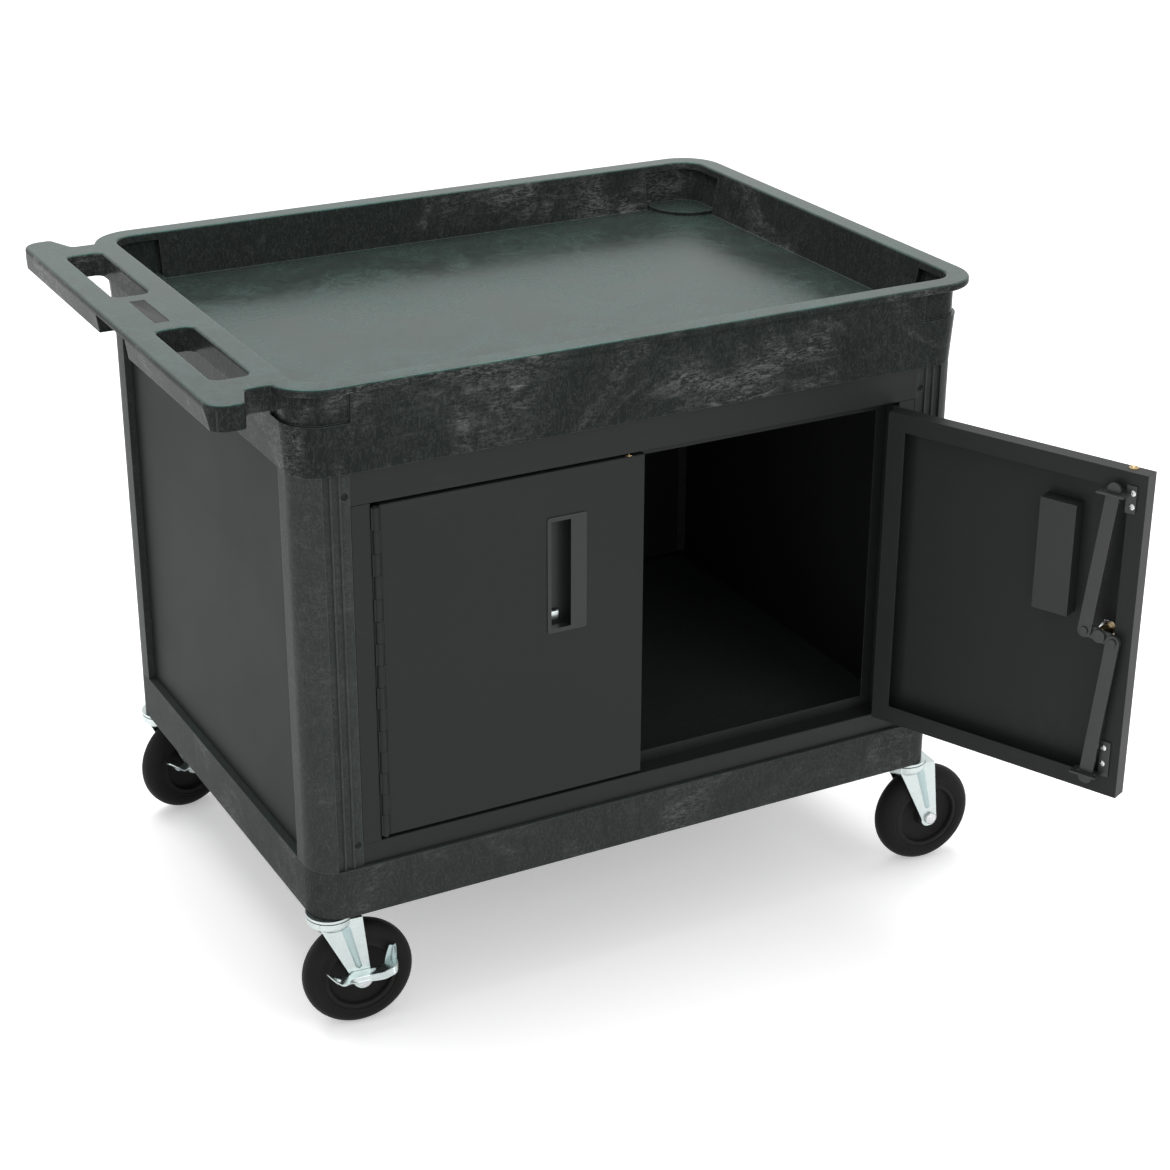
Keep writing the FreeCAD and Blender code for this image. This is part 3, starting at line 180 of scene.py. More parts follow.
def build_groups():
    """Effects that several finishes share, each made once."""
    vector, value = "NodeSocketVector", "NodeSocketFloat"

    # mottled bloom with fine short hairs, as foamed plastic leaves its mould
    group, ins, outs = new_group("foamed_skin", (("Vector", vector, None), ("Grain", value, 900.0)),
                                 (("Bloom", value), ("Hairs", value), ("Height", value)))
    cloud = noise(group, ins["Vector"], 7.0, 5.0, 0.62, 1.4)
    swirl = noise(group, ins["Vector"], 22.0, 4.0, 0.6, 3.2)
    mixed = maths(group, "ADD", maths(group, "MULTIPLY", cloud, 0.6), maths(group, "MULTIPLY", swirl, 0.4))
    group.links.new(ramp(group, mixed, 0.36, 0.68), outs["Bloom"])
    hairs = noise(group, ins["Vector"], 95.0, 3.0, 0.7, 2.5, stretch=(1.0, 1.0, 0.35))
    thin = maths(group, "ABSOLUTE", maths(group, "SUBTRACT", hairs, 0.5))
    group.links.new(ramp(group, maths(group, "SUBTRACT", 0.035, thin), 0.0, 0.03), outs["Hairs"])
    fine = noise(group, ins["Vector"], 900.0, 2.0, 0.5)
    group.links.new(ins["Grain"], fine.node.inputs["Scale"])
    tall = maths(group, "ADD", maths(group, "MULTIPLY", fine, 0.35), maths(group, "MULTIPLY", swirl, 0.65))
    group.links.new(tall, outs["Height"])

    # rubbed and scratched patches
    group, ins, outs = new_group("scuffs", (("Vector", vector, None), ("Scale", value, 6.0),
                                            ("Amount", value, 0.5)), (("Mask", value),))
    patch = noise(group, ins["Vector"], 6.0, 4.0, 0.65, 1.2)
    group.links.new(ins["Scale"], patch.node.inputs["Scale"])
    hatch = noise(group, ins["Vector"], 260.0, 3.0, 0.7, 1.5, stretch=(0.35, 0.5, 1.0))
    streak = noise(group, ins["Vector"], 34.0, 4.0, 0.7, 2.0, stretch=(0.30, 0.5, 1.2))
    worn = maths(group, "ADD", maths(group, "MULTIPLY", ramp(group, hatch, 0.42, 0.66), 0.55),
                 maths(group, "MULTIPLY", ramp(group, streak, 0.50, 0.72), 0.6))
    spot = maths(group, "MULTIPLY", ramp(group, patch, 0.46, 0.70), worn)
    group.links.new(maths(group, "MULTIPLY", spot, ins["Amount"]), outs["Mask"])

    # edges that are rounded, and lightened partly as rubbed wear and partly as a painted highlight
    group, ins, outs = new_group("worn_and_highlit_edges", (("Radius", value, 0.0015), ("WearAndHighlight", value, 0.5)),
                                 (("Mask", value), ("Normal", vector)))
    soft = add(group, "ShaderNodeBevel", {"Radius": 0.0015}, samples=4)
    group.links.new(ins["Radius"], soft.inputs["Radius"])
    flat = add(group, "ShaderNodeNewGeometry").outputs["Normal"]
    straight = add(group, "ShaderNodeVectorMath", {0: soft.outputs[0], 1: flat}, operation="DOT_PRODUCT")
    edge = maths(group, "SUBTRACT", 1.0, straight.outputs["Value"])
    group.links.new(maths(group, "MULTIPLY", ramp(group, edge, 0.01, 0.18), ins["WearAndHighlight"]), outs["Mask"])
    group.links.new(soft.outputs[0], outs["Normal"])

    # the fine pebbled skin of powder coat
    group, ins, outs = new_group("powder_skin", (("Vector", vector, None), ("Scale", value, 620.0)),
                                 (("Height", value), ("Tone", value)))
    peel = noise(group, ins["Vector"], 620.0, 2.0, 0.5)
    group.links.new(ins["Scale"], peel.node.inputs["Scale"])
    group.links.new(peel, outs["Height"])
    group.links.new(noise(group, ins["Vector"], 9.0, 3.0, 0.6), outs["Tone"])

    # rolled and pressed bright metal with a faint spangle
    group, ins, outs = new_group("pressed_metal", (("Vector", vector, None), ("Scale", value, 60.0)),
                                 (("Height", value), ("Tone", value)))
    roll = noise(group, ins["Vector"], 60.0, 3.0, 0.6, 0.0, stretch=(1.0, 1.0, 6.0))
    group.links.new(ins["Scale"], roll.node.inputs["Scale"])
    group.links.new(roll, outs["Height"])
    group.links.new(noise(group, ins["Vector"], 40.0, 4.0, 0.65, 1.5), outs["Tone"])


def use(tree, name, links):
    node = add(tree, "ShaderNodeGroup")
    node.node_tree = bpy.data.node_groups[name]
    for key, value in links.items():
        if isinstance(value, bpy.types.NodeSocket):
            tree.links.new(value, node.inputs[key])
        else:
            node.inputs[key].default_value = value
    return node.outputs


def new_finish(name):
    """An empty material with its shader; returns the tree, the shader and Object coordinates."""
    material = bpy.data.materials.new(name)
    material.use_nodes = True
    tree = material.node_tree
    shader = tree.nodes["Principled BSDF"]
    place = add(tree, "ShaderNodeTexCoord").outputs["Object"]
    return material, tree, shader, place


def bumped(tree, height, strength, distance, normal=None):
    links = {"Height": height, "Strength": strength, "Distance": distance}
    if normal is not None:
        links["Normal"] = normal
    return add(tree, "ShaderNodeBump", links).outputs[0]


def rgba(colour_value):
    return tuple(colour_value) + (1.0,)


def spread(tree, source, low, high):
    """A mask turned into a number between low and high."""
    return add(tree, "ShaderNodeMapRange", {"Value": source, "To Min": low, "To Max": high}).outputs["Result"]


def moulding_finish(look, name, bloom_and_sheen, scuff, tint, rough, sheen, flat, creases=False):
    """Foamed black plastic: mottled bloom, laid on strongest where the face lies level as a painted sheen, a
    green specular sheen where it lies flat, hairs, scuffs, and edges lightened as rubbed wear and painted
    highlight.

    sheen is the specular level of upright walls and flat that of level surfaces.
    """
    material, tree, shader, place = new_finish(name)
    skin = use(tree, "foamed_skin", {"Vector": place, "Grain": look.grain_scale})
    marks = use(tree, "scuffs", {"Vector": place, "Scale": 5.0, "Amount": scuff})
    edges = use(tree, "worn_and_highlit_edges", {"Radius": 1.6 * MM, "WearAndHighlight": 0.30})
    up = add(tree, "ShaderNodeSeparateXYZ", {0: add(tree, "ShaderNodeNewGeometry").outputs["Normal"]})
    level = ramp(tree, up.outputs["Z"], 0.2, 0.95)
    # painted sheen: the bloom colour rises from 0.18 on upright walls to full on level faces, standing in for
    # the overhead light's reflection; its mottling is real
    bloom_and_sheen_amount = maths(tree, "MULTIPLY", spread(tree, skin["Bloom"], 0.35 * bloom_and_sheen, bloom_and_sheen),
                   spread(tree, level, 0.18, 1.0))
    tone = blend(tree, bloom_and_sheen_amount, rgba([c * tint for c in look.moulding]), rgba(look.bloom_and_sheen))
    tone = blend(tree, maths(tree, "MULTIPLY", skin["Hairs"], 0.16), tone, (0.16, 0.17, 0.165, 1))
    rubbed = maths(tree, "MULTIPLY", marks["Mask"], spread(tree, level, 1.0, 0.05))
    tone = blend(tree, rubbed, tone, (0.21, 0.21, 0.205, 1))
    # edges lightened: partly rubbed wear, partly a painted highlight along every edge
    tone = blend(tree, edges["Mask"], tone, (0.22, 0.25, 0.24, 1))
    height = skin["Height"]
    if creases:
        across = add(tree, "ShaderNodeSeparateXYZ", {0: place}).outputs["X"]
        off = maths(tree, "ABSOLUTE", maths(tree, "SUBTRACT", across, CENTRE_X))
        line = maths(tree, "ABSOLUTE", maths(tree, "SUBTRACT", off, CREASE_X))
        line = ramp(tree, maths(tree, "SUBTRACT", 0.0011, line), 0.0, 0.0009)
        upright = maths(tree, "SUBTRACT", 1.0, ramp(tree, up.outputs["Z"], 0.1, 0.3))
        line = maths(tree, "MULTIPLY", line, upright)
        height = maths(tree, "SUBTRACT", height, maths(tree, "MULTIPLY", line, 0.5))
    tree.links.new(tone, shader.inputs["Base Color"])
    tree.links.new(spread(tree, skin["Bloom"], rough - 0.05, rough + 0.07), shader.inputs["Roughness"])
    tree.links.new(bumped(tree, height, 0.35, 0.35 * MM, edges["Normal"]), shader.inputs["Normal"])
    cloudy = spread(tree, skin["Bloom"], 0.55, 1.0)
    shine = maths(tree, "MULTIPLY", spread(tree, level, sheen, flat), cloudy)
    tree.links.new(shine, shader.inputs["Specular IOR Level"])
    shader.inputs["Specular Tint"].default_value = GREEN_SHEEN
    return material


def coat_finish(look, name, tint=1.0, rough=0.42, sheen=0.16):
    """Semi-matte black powder coat on sheet steel."""
    material, tree, shader, place = new_finish(name)
    skin = use(tree, "powder_skin", {"Vector": place, "Scale": look.peel_scale})
    edges = use(tree, "worn_and_highlit_edges", {"Radius": 0.8 * MM, "WearAndHighlight": 0.16})
    marks = use(tree, "scuffs", {"Vector": place, "Scale": 3.0, "Amount": 0.05})
    dark = tuple(c * tint for c in look.steel)
    tone = blend(tree, spread(tree, skin["Tone"], 0.0, 0.35), rgba(dark), rgba([c * 1.5 for c in dark]))
    tone = blend(tree, marks["Mask"], tone, (0.12, 0.12, 0.12, 1))
    # edges lightened: partly rubbed wear, partly a painted highlight along every edge
    tone = blend(tree, edges["Mask"], tone, (0.16, 0.17, 0.17, 1))
    tree.links.new(tone, shader.inputs["Base Color"])
    tree.links.new(spread(tree, skin["Tone"], rough - 0.05, rough + 0.07), shader.inputs["Roughness"])
    tree.links.new(bumped(tree, skin["Height"], 0.22, 0.12 * MM, edges["Normal"]), shader.inputs["Normal"])
    shader.inputs["Specular IOR Level"].default_value = sheen
    return material


def metal_finish(look, name, colour_value, rough, scale=60.0, spangle=0.22):
    """Bright plated metal."""
    material, tree, shader, place = new_finish(name)
    skin = use(tree, "pressed_metal", {"Vector": place, "Scale": scale})
    edges = use(tree, "worn_and_highlit_edges", {"Radius": 0.5 * MM, "WearAndHighlight": 0.35})
    tone = blend(tree, spread(tree, skin["Tone"], 0.0, spangle * 2), rgba(colour_value),
                 rgba([c * 0.55 for c in colour_value]))
    # edges brightened: partly rubbed metal, partly a painted glint along every edge
    tone = blend(tree, edges["Mask"], tone, rgba([min(1, c * 1.25) for c in colour_value]))
    tree.links.new(tone, shader.inputs["Base Color"])
    tree.links.new(spread(tree, skin["Tone"], rough - 0.06, rough + 0.12), shader.inputs["Roughness"])
    tree.links.new(bumped(tree, skin["Height"], 0.12, 0.10 * MM, edges["Normal"]), shader.inputs["Normal"])
    shader.inputs["Metallic"].default_value = 1.0
    return material


def rubber_finish(look, name, tint=1.0, rough=0.5):
    """Hard black rubber with faint dust."""
    material, tree, shader, place = new_finish(name)
    skin = use(tree, "powder_skin", {"Vector": place, "Scale": 480.0})
    edges = use(tree, "worn_and_highlit_edges", {"Radius": 1.0 * MM, "WearAndHighlight": 0.2})
    dark = [c * tint for c in look.rubber]
    tone = blend(tree, spread(tree, skin["Tone"], 0.0, 0.6), rgba(dark), rgba([c * 2.2 for c in dark]))
    # edges lightened: partly rubbed wear, partly a painted highlight along every edge
    tone = blend(tree, edges["Mask"], tone, (0.08, 0.08, 0.078, 1))
    tree.links.new(tone, shader.inputs["Base Color"])
    tree.links.new(spread(tree, skin["Tone"], rough - 0.06, rough + 0.10), shader.inputs["Roughness"])
    tree.links.new(bumped(tree, skin["Height"], 0.25, 0.15 * MM, edges["Normal"]), shader.inputs["Normal"])
    shader.inputs["Specular IOR Level"].default_value = 0.06
    return material


def finish_of(node):
    """The finish that a carried-over node wears, by its name."""
    if node == "top_tub":
        return "tub_moulding"
    if node == "base_shelf" or node.startswith("post_") and "screws" not in node:
        return "base_moulding" if node == "base_shelf" else "post_moulding"
    if "screws" in node or node == "lock_nut":
        return "plated_steel"
    if node.startswith(("side_panel", "back_panel")):
        return "shaded_side_coat"
    if node.startswith(("door_pan", "door_stops", "frame_", "hinge_")):
        return "powder_coat"
    if node.startswith("pull_cup"):
        return "pull_coat"
    if node.startswith("ball_catch") or node == "lock_body":
        return "polished_brass"
    if node == "lock_cam" or node.startswith(("latch_rod", "rod_guide")):
        return "blackened_bar"
    if "tyre" in node:
        return "tyre_rubber"
    if "hub" in node:
        return "wheel_disc"
    return "bright_zinc"


class CART_OT_finishes(bpy.types.Operator):
    """Make every finish and put it on the pieces that keep their shape"""
    bl_idname = "cart.finishes"
    bl_label = "Finishes"

    def execute(self, context):
        look = context.scene.cart_finish
        build_groups()
        moulding_finish(look, "tub_moulding", 0.85, 1.0, 1.3, 0.24, 0.03, 0.55, creases=True)
        moulding_finish(look, "base_moulding", 0.30, 0.85, 2.4, 0.40, 0.02, 0.3)
        moulding_finish(look, "post_moulding", 0.12, 0.20, 2.7, 0.38, 0.05, 0.3)
        coat_finish(look, "powder_coat", 1.15)
        # a shaded copy of the powder coat: the same steel with less specular, so the side and back panels
        # render darker, as painted shade
        coat_finish(look, "shaded_side_coat", 1.25, 0.46, 0.04)
        coat_finish(look, "pull_coat", 1.6, 0.38, 0.30)
        coat_finish(look, "blackened_bar", 1.3, 0.36, 0.5)
        coat_finish(look, "plate_plastic", 1.0, 0.38, 0.12)
        metal_finish(look, "bright_zinc", look.zinc, 0.26)
        metal_finish(look, "blue_zinc", [c * t for c, t in zip(look.zinc, (0.70, 0.78, 0.80))], 0.30)
        metal_finish(look, "plated_steel", look.plate, 0.18)
        metal_finish(look, "polished_brass", look.brass, 0.20)
        rubber_finish(look, "tyre_rubber")
        rubber_finish(look, "wheel_disc", 1.3, 0.42)
        for name, node in NODES.items():
            node.data.materials.clear()
            node.data.materials.append(bpy.data.materials[finish_of(name)])
        return {"FINISHED"}


# --- making pieces ---------------------------------------------------------------------------------
def keep(bm, name, finish, body, turn=None, crease=32):
    """The finished bmesh as a piece: doubles merged, faces outward, sharp edges above crease degrees."""
    if turn is not None:
        bm.transform(turn)
    bmesh.ops.remove_doubles(bm, verts=bm.verts, dist=1e-6)
    bmesh.ops.recalc_face_normals(bm, faces=bm.faces)
    for face in bm.faces:
        face.smooth = True
    for edge in bm.edges:
        edge.smooth = len(edge.link_faces) == 2 and edge.calc_face_angle(0) < math.radians(crease)
    mesh = bpy.data.meshes.new(name)
    bm.to_mesh(mesh)
    bm.free()
    piece = bpy.data.objects.new(name, mesh)
    bpy.context.scene.collection.objects.link(piece)
    mesh.materials.append(bpy.data.materials[finish])
    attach(piece, body)
    return piece


def turned(profile, steps, axis=(0, 1, 0), closed=True):
    """A profile of (radius, along) points in millimetres, spun about the Y or Z axis."""
    bm = bmesh.new()
    along_y = axis[1] == 1
    spots = [bm.verts.new((r * MM, a * MM, 0) if along_y else (r * MM, 0, a * MM)) for r, a in profile]
    pairs = list(zip(spots, spots[1:] + spots[:1])) if closed else list(zip(spots, spots[1:]))
    edges = [bm.edges.new(pair) for pair in pairs]
    bmesh.ops.spin(bm, geom=spots + edges, cent=(0, 0, 0), axis=axis, dvec=(0, 0, 0), angle=2 * math.pi,
                   steps=steps, use_merge=True, use_normal_flip=False, use_duplicate=False)
    return bm


def arc(centre, radius, start, stop, steps):
    """Points of an arc between two angles in degrees."""
    angles = [math.radians(start + (stop - start) * i / steps) for i in range(steps + 1)]
    return [(centre[0] + radius * math.cos(a), centre[1] + radius * math.sin(a)) for a in angles]


def wheel_turn(word):
    """From a wheel's own frame, +X forward of its fork and +Y along its axle, to the cart's."""
    joint = JOINTS["wheel_%s_roll" % word]
    across = Vector(joint["axis"]).normalized()
    ahead = across.cross(Vector((0, 0, 1)))
    return Matrix.Translation(joint["pos_m"]) @ Matrix((ahead, across, (0, 0, 1))).transposed().to_4x4()


def smooth_step(value, low, high):
    value = min(1, max(0, (value - low) / (high - low)))
    return value * value * (3 - 2 * value)


# half profiles as (radius, along the axle) in millimetres, from the rim's foot to the middle plane
TREAD = 15
TYRE_WALL = [(43, 16), (44.5, 16), (45.2, 15.5), (46, 15.5), (46.7, 16), (48.6, 15.98)]
TYRE_LINE = [(52.2, 15.45), (52.6, 15.1), (53.3, 15.15), (53.6, 14.95)]
HUB_FACE = [(43, 15), (42, 15.2), (38.6, 15.2), (37.4, 14.4), (36.6, 8.5), (34.5, 6.2), (30, 5.4),
            (19, 5.4), (15, 6.6), (13.2, 10), (12.8, 16.6), (12.2, 17), (5.4, 17)]
# the bell below a raceway, as (radius, height above the axle)
BELL = [(25.6, 76), (26.2, 74.6), (26.2, 73), (25.4, 70.6), (23, 67.8), (19.4, 66), (15, 65.2),
        (12.2, 65.2), (12.2, 66.2), (15, 66.3), (19, 67.2), (22, 69), (24, 71.6), (24.6, 74), (24.6, 76)]
TRAIL = 29
FORK_FACE = 21.02
PEDAL_FACE = 21.35


def mirrored(half):
    """A closed profile from its half on one side of the middle plane."""
    return half + [(radius, -along) for radius, along in reversed(half)]


class CART_OT_wheels(bpy.types.Operator):
    """Round tyres with a moulding line at each shoulder, and dished hubs"""
    bl_idname = "cart.wheels"
    bl_label = "Wheels"

    def execute(self, context):
        steps = context.scene.cart_detail.turn_steps
        crown = arc((48.5, 1), TREAD, 84, 2, 14)
        shoulder = [point for point in crown if point[0] < 52]
        tread = [point for point in crown if point[0] > 54]
        tyre = mirrored(TYRE_WALL + shoulder + TYRE_LINE + tread)
        hub = mirrored(HUB_FACE)
        for word in CORNERS:
            turn, body = wheel_turn(word), "wheel_" + word
            piece = keep(turned(tyre, steps), "tyre_" + word, "tyre_rubber", body, turn, 20)
            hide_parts("caster_tyre_" + word)
            piece = keep(turned(hub, steps), "hub_" + word, "wheel_disc", body, turn, 26)
            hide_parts("caster_hub_" + word)
        return {"FINISHED"}


class CART_OT_forks(bpy.types.Operator):
    """The pressed rib down each fork leg and the bell below each raceway"""
    bl_idname = "cart.forks"
    bl_label = "Forks"

    def execute(self, context):
        detail = context.scene.cart_detail
        for word in CORNERS:
            turn = wheel_turn(word)
            shell = turned(BELL, detail.turn_steps, axis=(0, 0, 1))
            keep(shell, "fork_bell_" + word, "bright_zinc", "caster_" + word,
                 turn @ Matrix.Translation((-TRAIL * MM, 0, 0)))
            for side in (-1, 1):
                bm = bmesh.new()
                bmesh.ops.create_grid(bm, x_segments=8, y_segments=24, size=0.5)
                for vert in bm.verts:
                    along = vert.co.y + 0.5
                    width = 11.5 - 4.5 * along
                    across = vert.co.x * width
                    round_end = min(1, min(along, 1 - along) * 62 / (width / 2))
                    across *= math.sqrt(max(0.02, 1 - (1 - round_end) ** 2))
                    edge = 1 - abs(vert.co.x) * 2
                    rise = detail.fork_press / MM * smooth_step(min(edge, round_end), 0, 0.55)
                    lean = -19 + 15.5 * along + across
                    vert.co = Vector((lean, side * (FORK_FACE + rise), 73 - 59 * along)) * MM
                keep(bm, "fork_rib_%s_%s" % (word, "near" if side < 0 else "far"), "blue_zinc",
                     "caster_" + word, turn, 60)
        return {"FINISHED"}


def hexagon(bm, low, high, radius, chamfer, sign):
    """A nut or bolt head along Y from low to high, its outer corners turned off."""
    shoulder = (high - low) * MM - chamfer * 0.6
    ring = bmesh.ops.create_circle(bm, cap_ends=True, segments=6, radius=radius * MM)["verts"]
    turn = Matrix.Rotation(-sign * math.pi / 2, 4, "X")
    raised = bmesh.ops.extrude_face_region(bm, geom=[ring[0].link_faces[0]])
    tops = [item for item in raised["geom"] if isinstance(item, bmesh.types.BMVert)]
    bmesh.ops.translate(bm, verts=tops, vec=(0, 0, shoulder))
    bmesh.ops.bevel(bm, geom=tops, offset=chamfer, offset_type="OFFSET", affect="VERTICES", segments=1,
                    profile=0.5, material=-1, clamp_overlap=True)
    cap = [f for f in bm.faces if abs(f.calc_center_median().z - shoulder) < 1e-6]
    grown = bmesh.ops.extrude_face_region(bm, geom=cap)
    tops = [item for item in grown["geom"] if isinstance(item, bmesh.types.BMVert)]
    bmesh.ops.translate(bm, verts=tops, vec=(0, 0, chamfer * 0.6))
    bmesh.ops.scale(bm, verts=tops, vec=(0.88, 0.88, 1))
    bmesh.ops.transform(bm, matrix=Matrix.Translation((0, sign * low * MM, 0)) @ turn, verts=bm.verts)


class CART_OT_axles(bpy.types.Operator):
    """Each wheel's bolt: hexagon head, shank, nut and the thread's rounded end"""
    bl_idname = "cart.axles"
    bl_label = "Axles"

    def execute(self, context):
        chamfer = context.scene.cart_detail.nut_chamfer
        for word in CORNERS:
            far = 21.3
            near = 23.9 if "left" in word else far
            parts = []
            for sign, start in ((-1, near), (1, far)):
                bm = bmesh.new()
                hexagon(bm, start, start + 3.4, 7.9, chamfer, sign)
                parts.append(bm)
            ends = [(0.001, -near - 4), (3.6, -near - 4), (4.6, -near - 3.3), (4.95, -near),
                    (4.95, far), (4.6, far + 3.4), (3.6, far + 4), (0.001, far + 4)]
            shank = turned(ends, 32, closed=False)
            bmesh.ops.remove_doubles(shank, verts=shank.verts, dist=5e-6)
            whole = bmesh.new()
            for bm in (*parts, shank):
                held = bpy.data.meshes.new("held")
                bm.to_mesh(held)
                bm.free()
                whole.from_mesh(held)
                bpy.data.meshes.remove(held)
            piece = keep(whole, "axle_bolt_" + word, "plated_steel", "caster_" + word,
                         wheel_turn(word), 20)
            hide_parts("caster_axle_" + word)
        return {"FINISHED"}


class CART_OT_pedals(bpy.types.Operator):
    """Pressed brake pedals: cupped at one end, knurled at the other, with a lip and an upright tab"""
    bl_idname = "cart.pedals"
    bl_label = "Brake pedals"

    def execute(self, context):
        for word in ("front_left", "back_left"):
            turn = wheel_turn(word)
            # the tread: its height above the axle along the pedal and out from the fork
            bm = bmesh.new()
            bmesh.ops.create_grid(bm, x_segments=112, y_segments=26, size=0.5)
            for vert in bm.verts:
                along, out = -43 + 82 * (vert.co.x + 0.5), 0.5 - vert.co.y
                reach = 11.5 + 7 * smooth_step(abs(along + 2), 6, 26)
                tip = min(1, (43 + along) / 7, (39 - along) / 9)
                reach *= math.sqrt(max(0.12, 1 - (1 - max(0, tip)) ** 2))
                height = 9 + 9 * smooth_step(-along, 28, 43) + 8 * smooth_step(along, 6, 40)
                height += 1.6 * smooth_step(-along, 25, 34) * smooth_step(out, 0.55, 0.95)
                bowl = math.hypot((along + 33) / 7.5, (out * reach - 8.5) / 6.5)
                height -= 3.2 * (1 - smooth_step(bowl, 0.2, 1))
                height -= 5.5 * smooth_step(out, 0.80, 1.0) * smooth_step(along, -22, -8)
                if along > 12 and out < 0.8:
                    height += 0.5 * max(0, math.sin(along * 2.3)) * max(0, math.sin(out * reach * 2.3))
                vert.co = Vector((along, -PEDAL_FACE - out * reach, height)) * MM
            bmesh.ops.solidify(bm, geom=bm.faces[:] + bm.edges[:] + bm.verts[:], thickness=1.6 * MM)
            piece = keep(bm, "brake_tread_" + word, "bright_zinc", "pedal_" + word, turn, 40)
            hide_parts("brake_pedal_" + word)

            # the cheek that turns on the axle
            bm = bmesh.new()
            outer = bmesh.ops.create_circle(bm, cap_ends=False, segments=48, radius=1)["verts"]
            rim = {edge for vert in outer for edge in vert.link_edges}
            for vert in outer:
                up = smooth_step(vert.co.y, -0.2, 0.9)
                vert.co = Vector(((11 + 11 * up) * vert.co.x, 11 * vert.co.y + 2.5 * up, 0)) * MM
                vert.co.y = min(vert.co.y, 11.5 * MM)
            inner = bmesh.ops.create_circle(bm, cap_ends=False, segments=48, radius=5.1 * MM)["verts"]
            hole = {edge for vert in inner for edge in vert.link_edges}
            bmesh.ops.bridge_loops(bm, edges=list(rim | hole))
            thick = bmesh.ops.extrude_face_region(bm, geom=bm.faces[:])
            raised = [item for item in thick["geom"] if isinstance(item, bmesh.types.BMVert)]
            bmesh.ops.translate(bm, verts=raised, vec=(0, 0, 1.9 * MM))
            stand = Matrix.Translation((0, -PEDAL_FACE * MM, 0)) @ Matrix.Rotation(math.pi / 2, 4, "X")
            keep(bm, "brake_cheek_" + word, "bright_zinc", "pedal_" + word, turn @ stand)

            # the upright tab for the toe
            bm = bmesh.new()
            bmesh.ops.create_grid(bm, x_segments=14, y_segments=14, size=0.5)
            for vert in bm.verts:
                across, up = vert.co.x, vert.co.y + 0.5
                width = 14 * (1 - 0.45 * up * up)
                bow = 1.6 * math.cos(across * math.pi)
                vert.co = Vector((32 + 3 * up + across * width, -22 - bow, 14.5 + 22 * up)) * MM
            bmesh.ops.solidify(bm, geom=bm.faces[:] + bm.edges[:] + bm.verts[:], thickness=1.4 * MM)
            keep(bm, "brake_tab_" + word, "blue_zinc", "pedal_" + word, turn, 40)
        return {"FINISHED"}


def cross_head(bm, radius, height, recess):
    """A domed screw head on the XY plane with a cross recess."""
    bmesh.ops.create_grid(bm, x_segments=9, y_segments=9, size=0.5)
    half = recess / radius / 2
    rows = (-1, -0.82, -0.6, -half * 2.2, -half, half, half * 2.2, 0.6, 0.82, 1)
    for vert in bm.verts:
        x, y = (rows[round((c + 0.5) * 9)] for c in (vert.co.x, vert.co.y))
        vert.co = Vector((x * math.sqrt(1 - y * y / 2) * radius, y * math.sqrt(1 - x * x / 2) * radius, 0))
        vert.co.z = height * (1 - 0.75 * (vert.co.xy.length / radius) ** 2)
        vert.co.z = max(vert.co.z, height * 0.25)
    sunk = [f for f in bm.faces if min(abs(f.calc_center_median().x), abs(f.calc_center_median().y))
            < half * radius * 0.9 and f.calc_center_median().xy.length < radius * 0.62]
    well = bmesh.ops.extrude_face_region(bm, geom=sunk)
    low = [item for item in well["geom"] if isinstance(item, bmesh.types.BMVert)]
    bmesh.ops.delete(bm, geom=sunk, context="FACES")
    bmesh.ops.translate(bm, verts=low, vec=(0, 0, -height * 0.7))
    bmesh.ops.scale(bm, verts=low, vec=(0.8, 0.8, 1))
    rim = [edge for edge in bm.edges if len(edge.link_faces) == 1]
    wall = bmesh.ops.extrude_edge_only(bm, edges=rim)
    foot = [item for item in wall["geom"] if isinstance(item, bmesh.types.BMVert)]
    for vert in foot:
        vert.co.z = 0
    bmesh.ops.holes_fill(bm, edges=[edge for edge in bm.edges if len(edge.link_faces) == 1], sides=0)


class CART_OT_screws(bpy.types.Operator):
    """Domed cross-head screws in place of the plain heads"""
    bl_idname = "cart.screws"
    bl_label = "Screws"

    def execute(self, context):
        detail = context.scene.cart_detail
        door_back = Vector((-0.9164, -0.4003, 0))  # the way that the open door's back faces
        rows = {"post_screws": ("cart", lambda c: Vector((0, c.y - CENTRE_Y, 0))),
                "hinge_screws": ("cart", lambda c: Vector((CENTRE_X - c.x, 0, 0))),
                "guide_screws": ("door_right", lambda c: door_back)}
        for node, (body, outward) in rows.items():
            source = bmesh.new()
            source.from_mesh(NODES[node].data)
            bmesh.ops.remove_doubles(source, verts=source.verts, dist=1e-6)
            left = set(source.verts)
            whole = bmesh.new()
            while left:
                group, edge = set(), [left.pop()]
                while edge:
                    vert = edge.pop()
                    group.add(vert)
                    for other in (e.other_vert(vert) for e in vert.link_edges):
                        if other in left:
                            left.discard(other)
                            edge.append(other)
                low = Vector([min(v.co[i] for v in group) for i in range(3)])
                high = Vector([max(v.co[i] for v in group) for i in range(3)])
                middle = (low + high) / 2
                way = outward(middle).normalized()
                one = bmesh.new()
                cross_head(one, detail.screw_radius, detail.screw_height, detail.recess_width)
                one.transform(Matrix.Translation(middle - way * detail.screw_height / 2)
                              @ way.to_track_quat("Z", "Y").to_matrix().to_4x4()
                              @ Matrix.Rotation(middle.z * 40, 4, "Z"))
                held = bpy.data.meshes.new("held")
                one.to_mesh(held)
                one.free()
                whole.from_mesh(held)
                bpy.data.meshes.remove(held)
            source.free()
            finish = "powder_coat" if node == "post_screws" else "plated_steel"
            piece = keep(whole, "cross_" + node, finish, body)
            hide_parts(node)
        return {"FINISHED"}


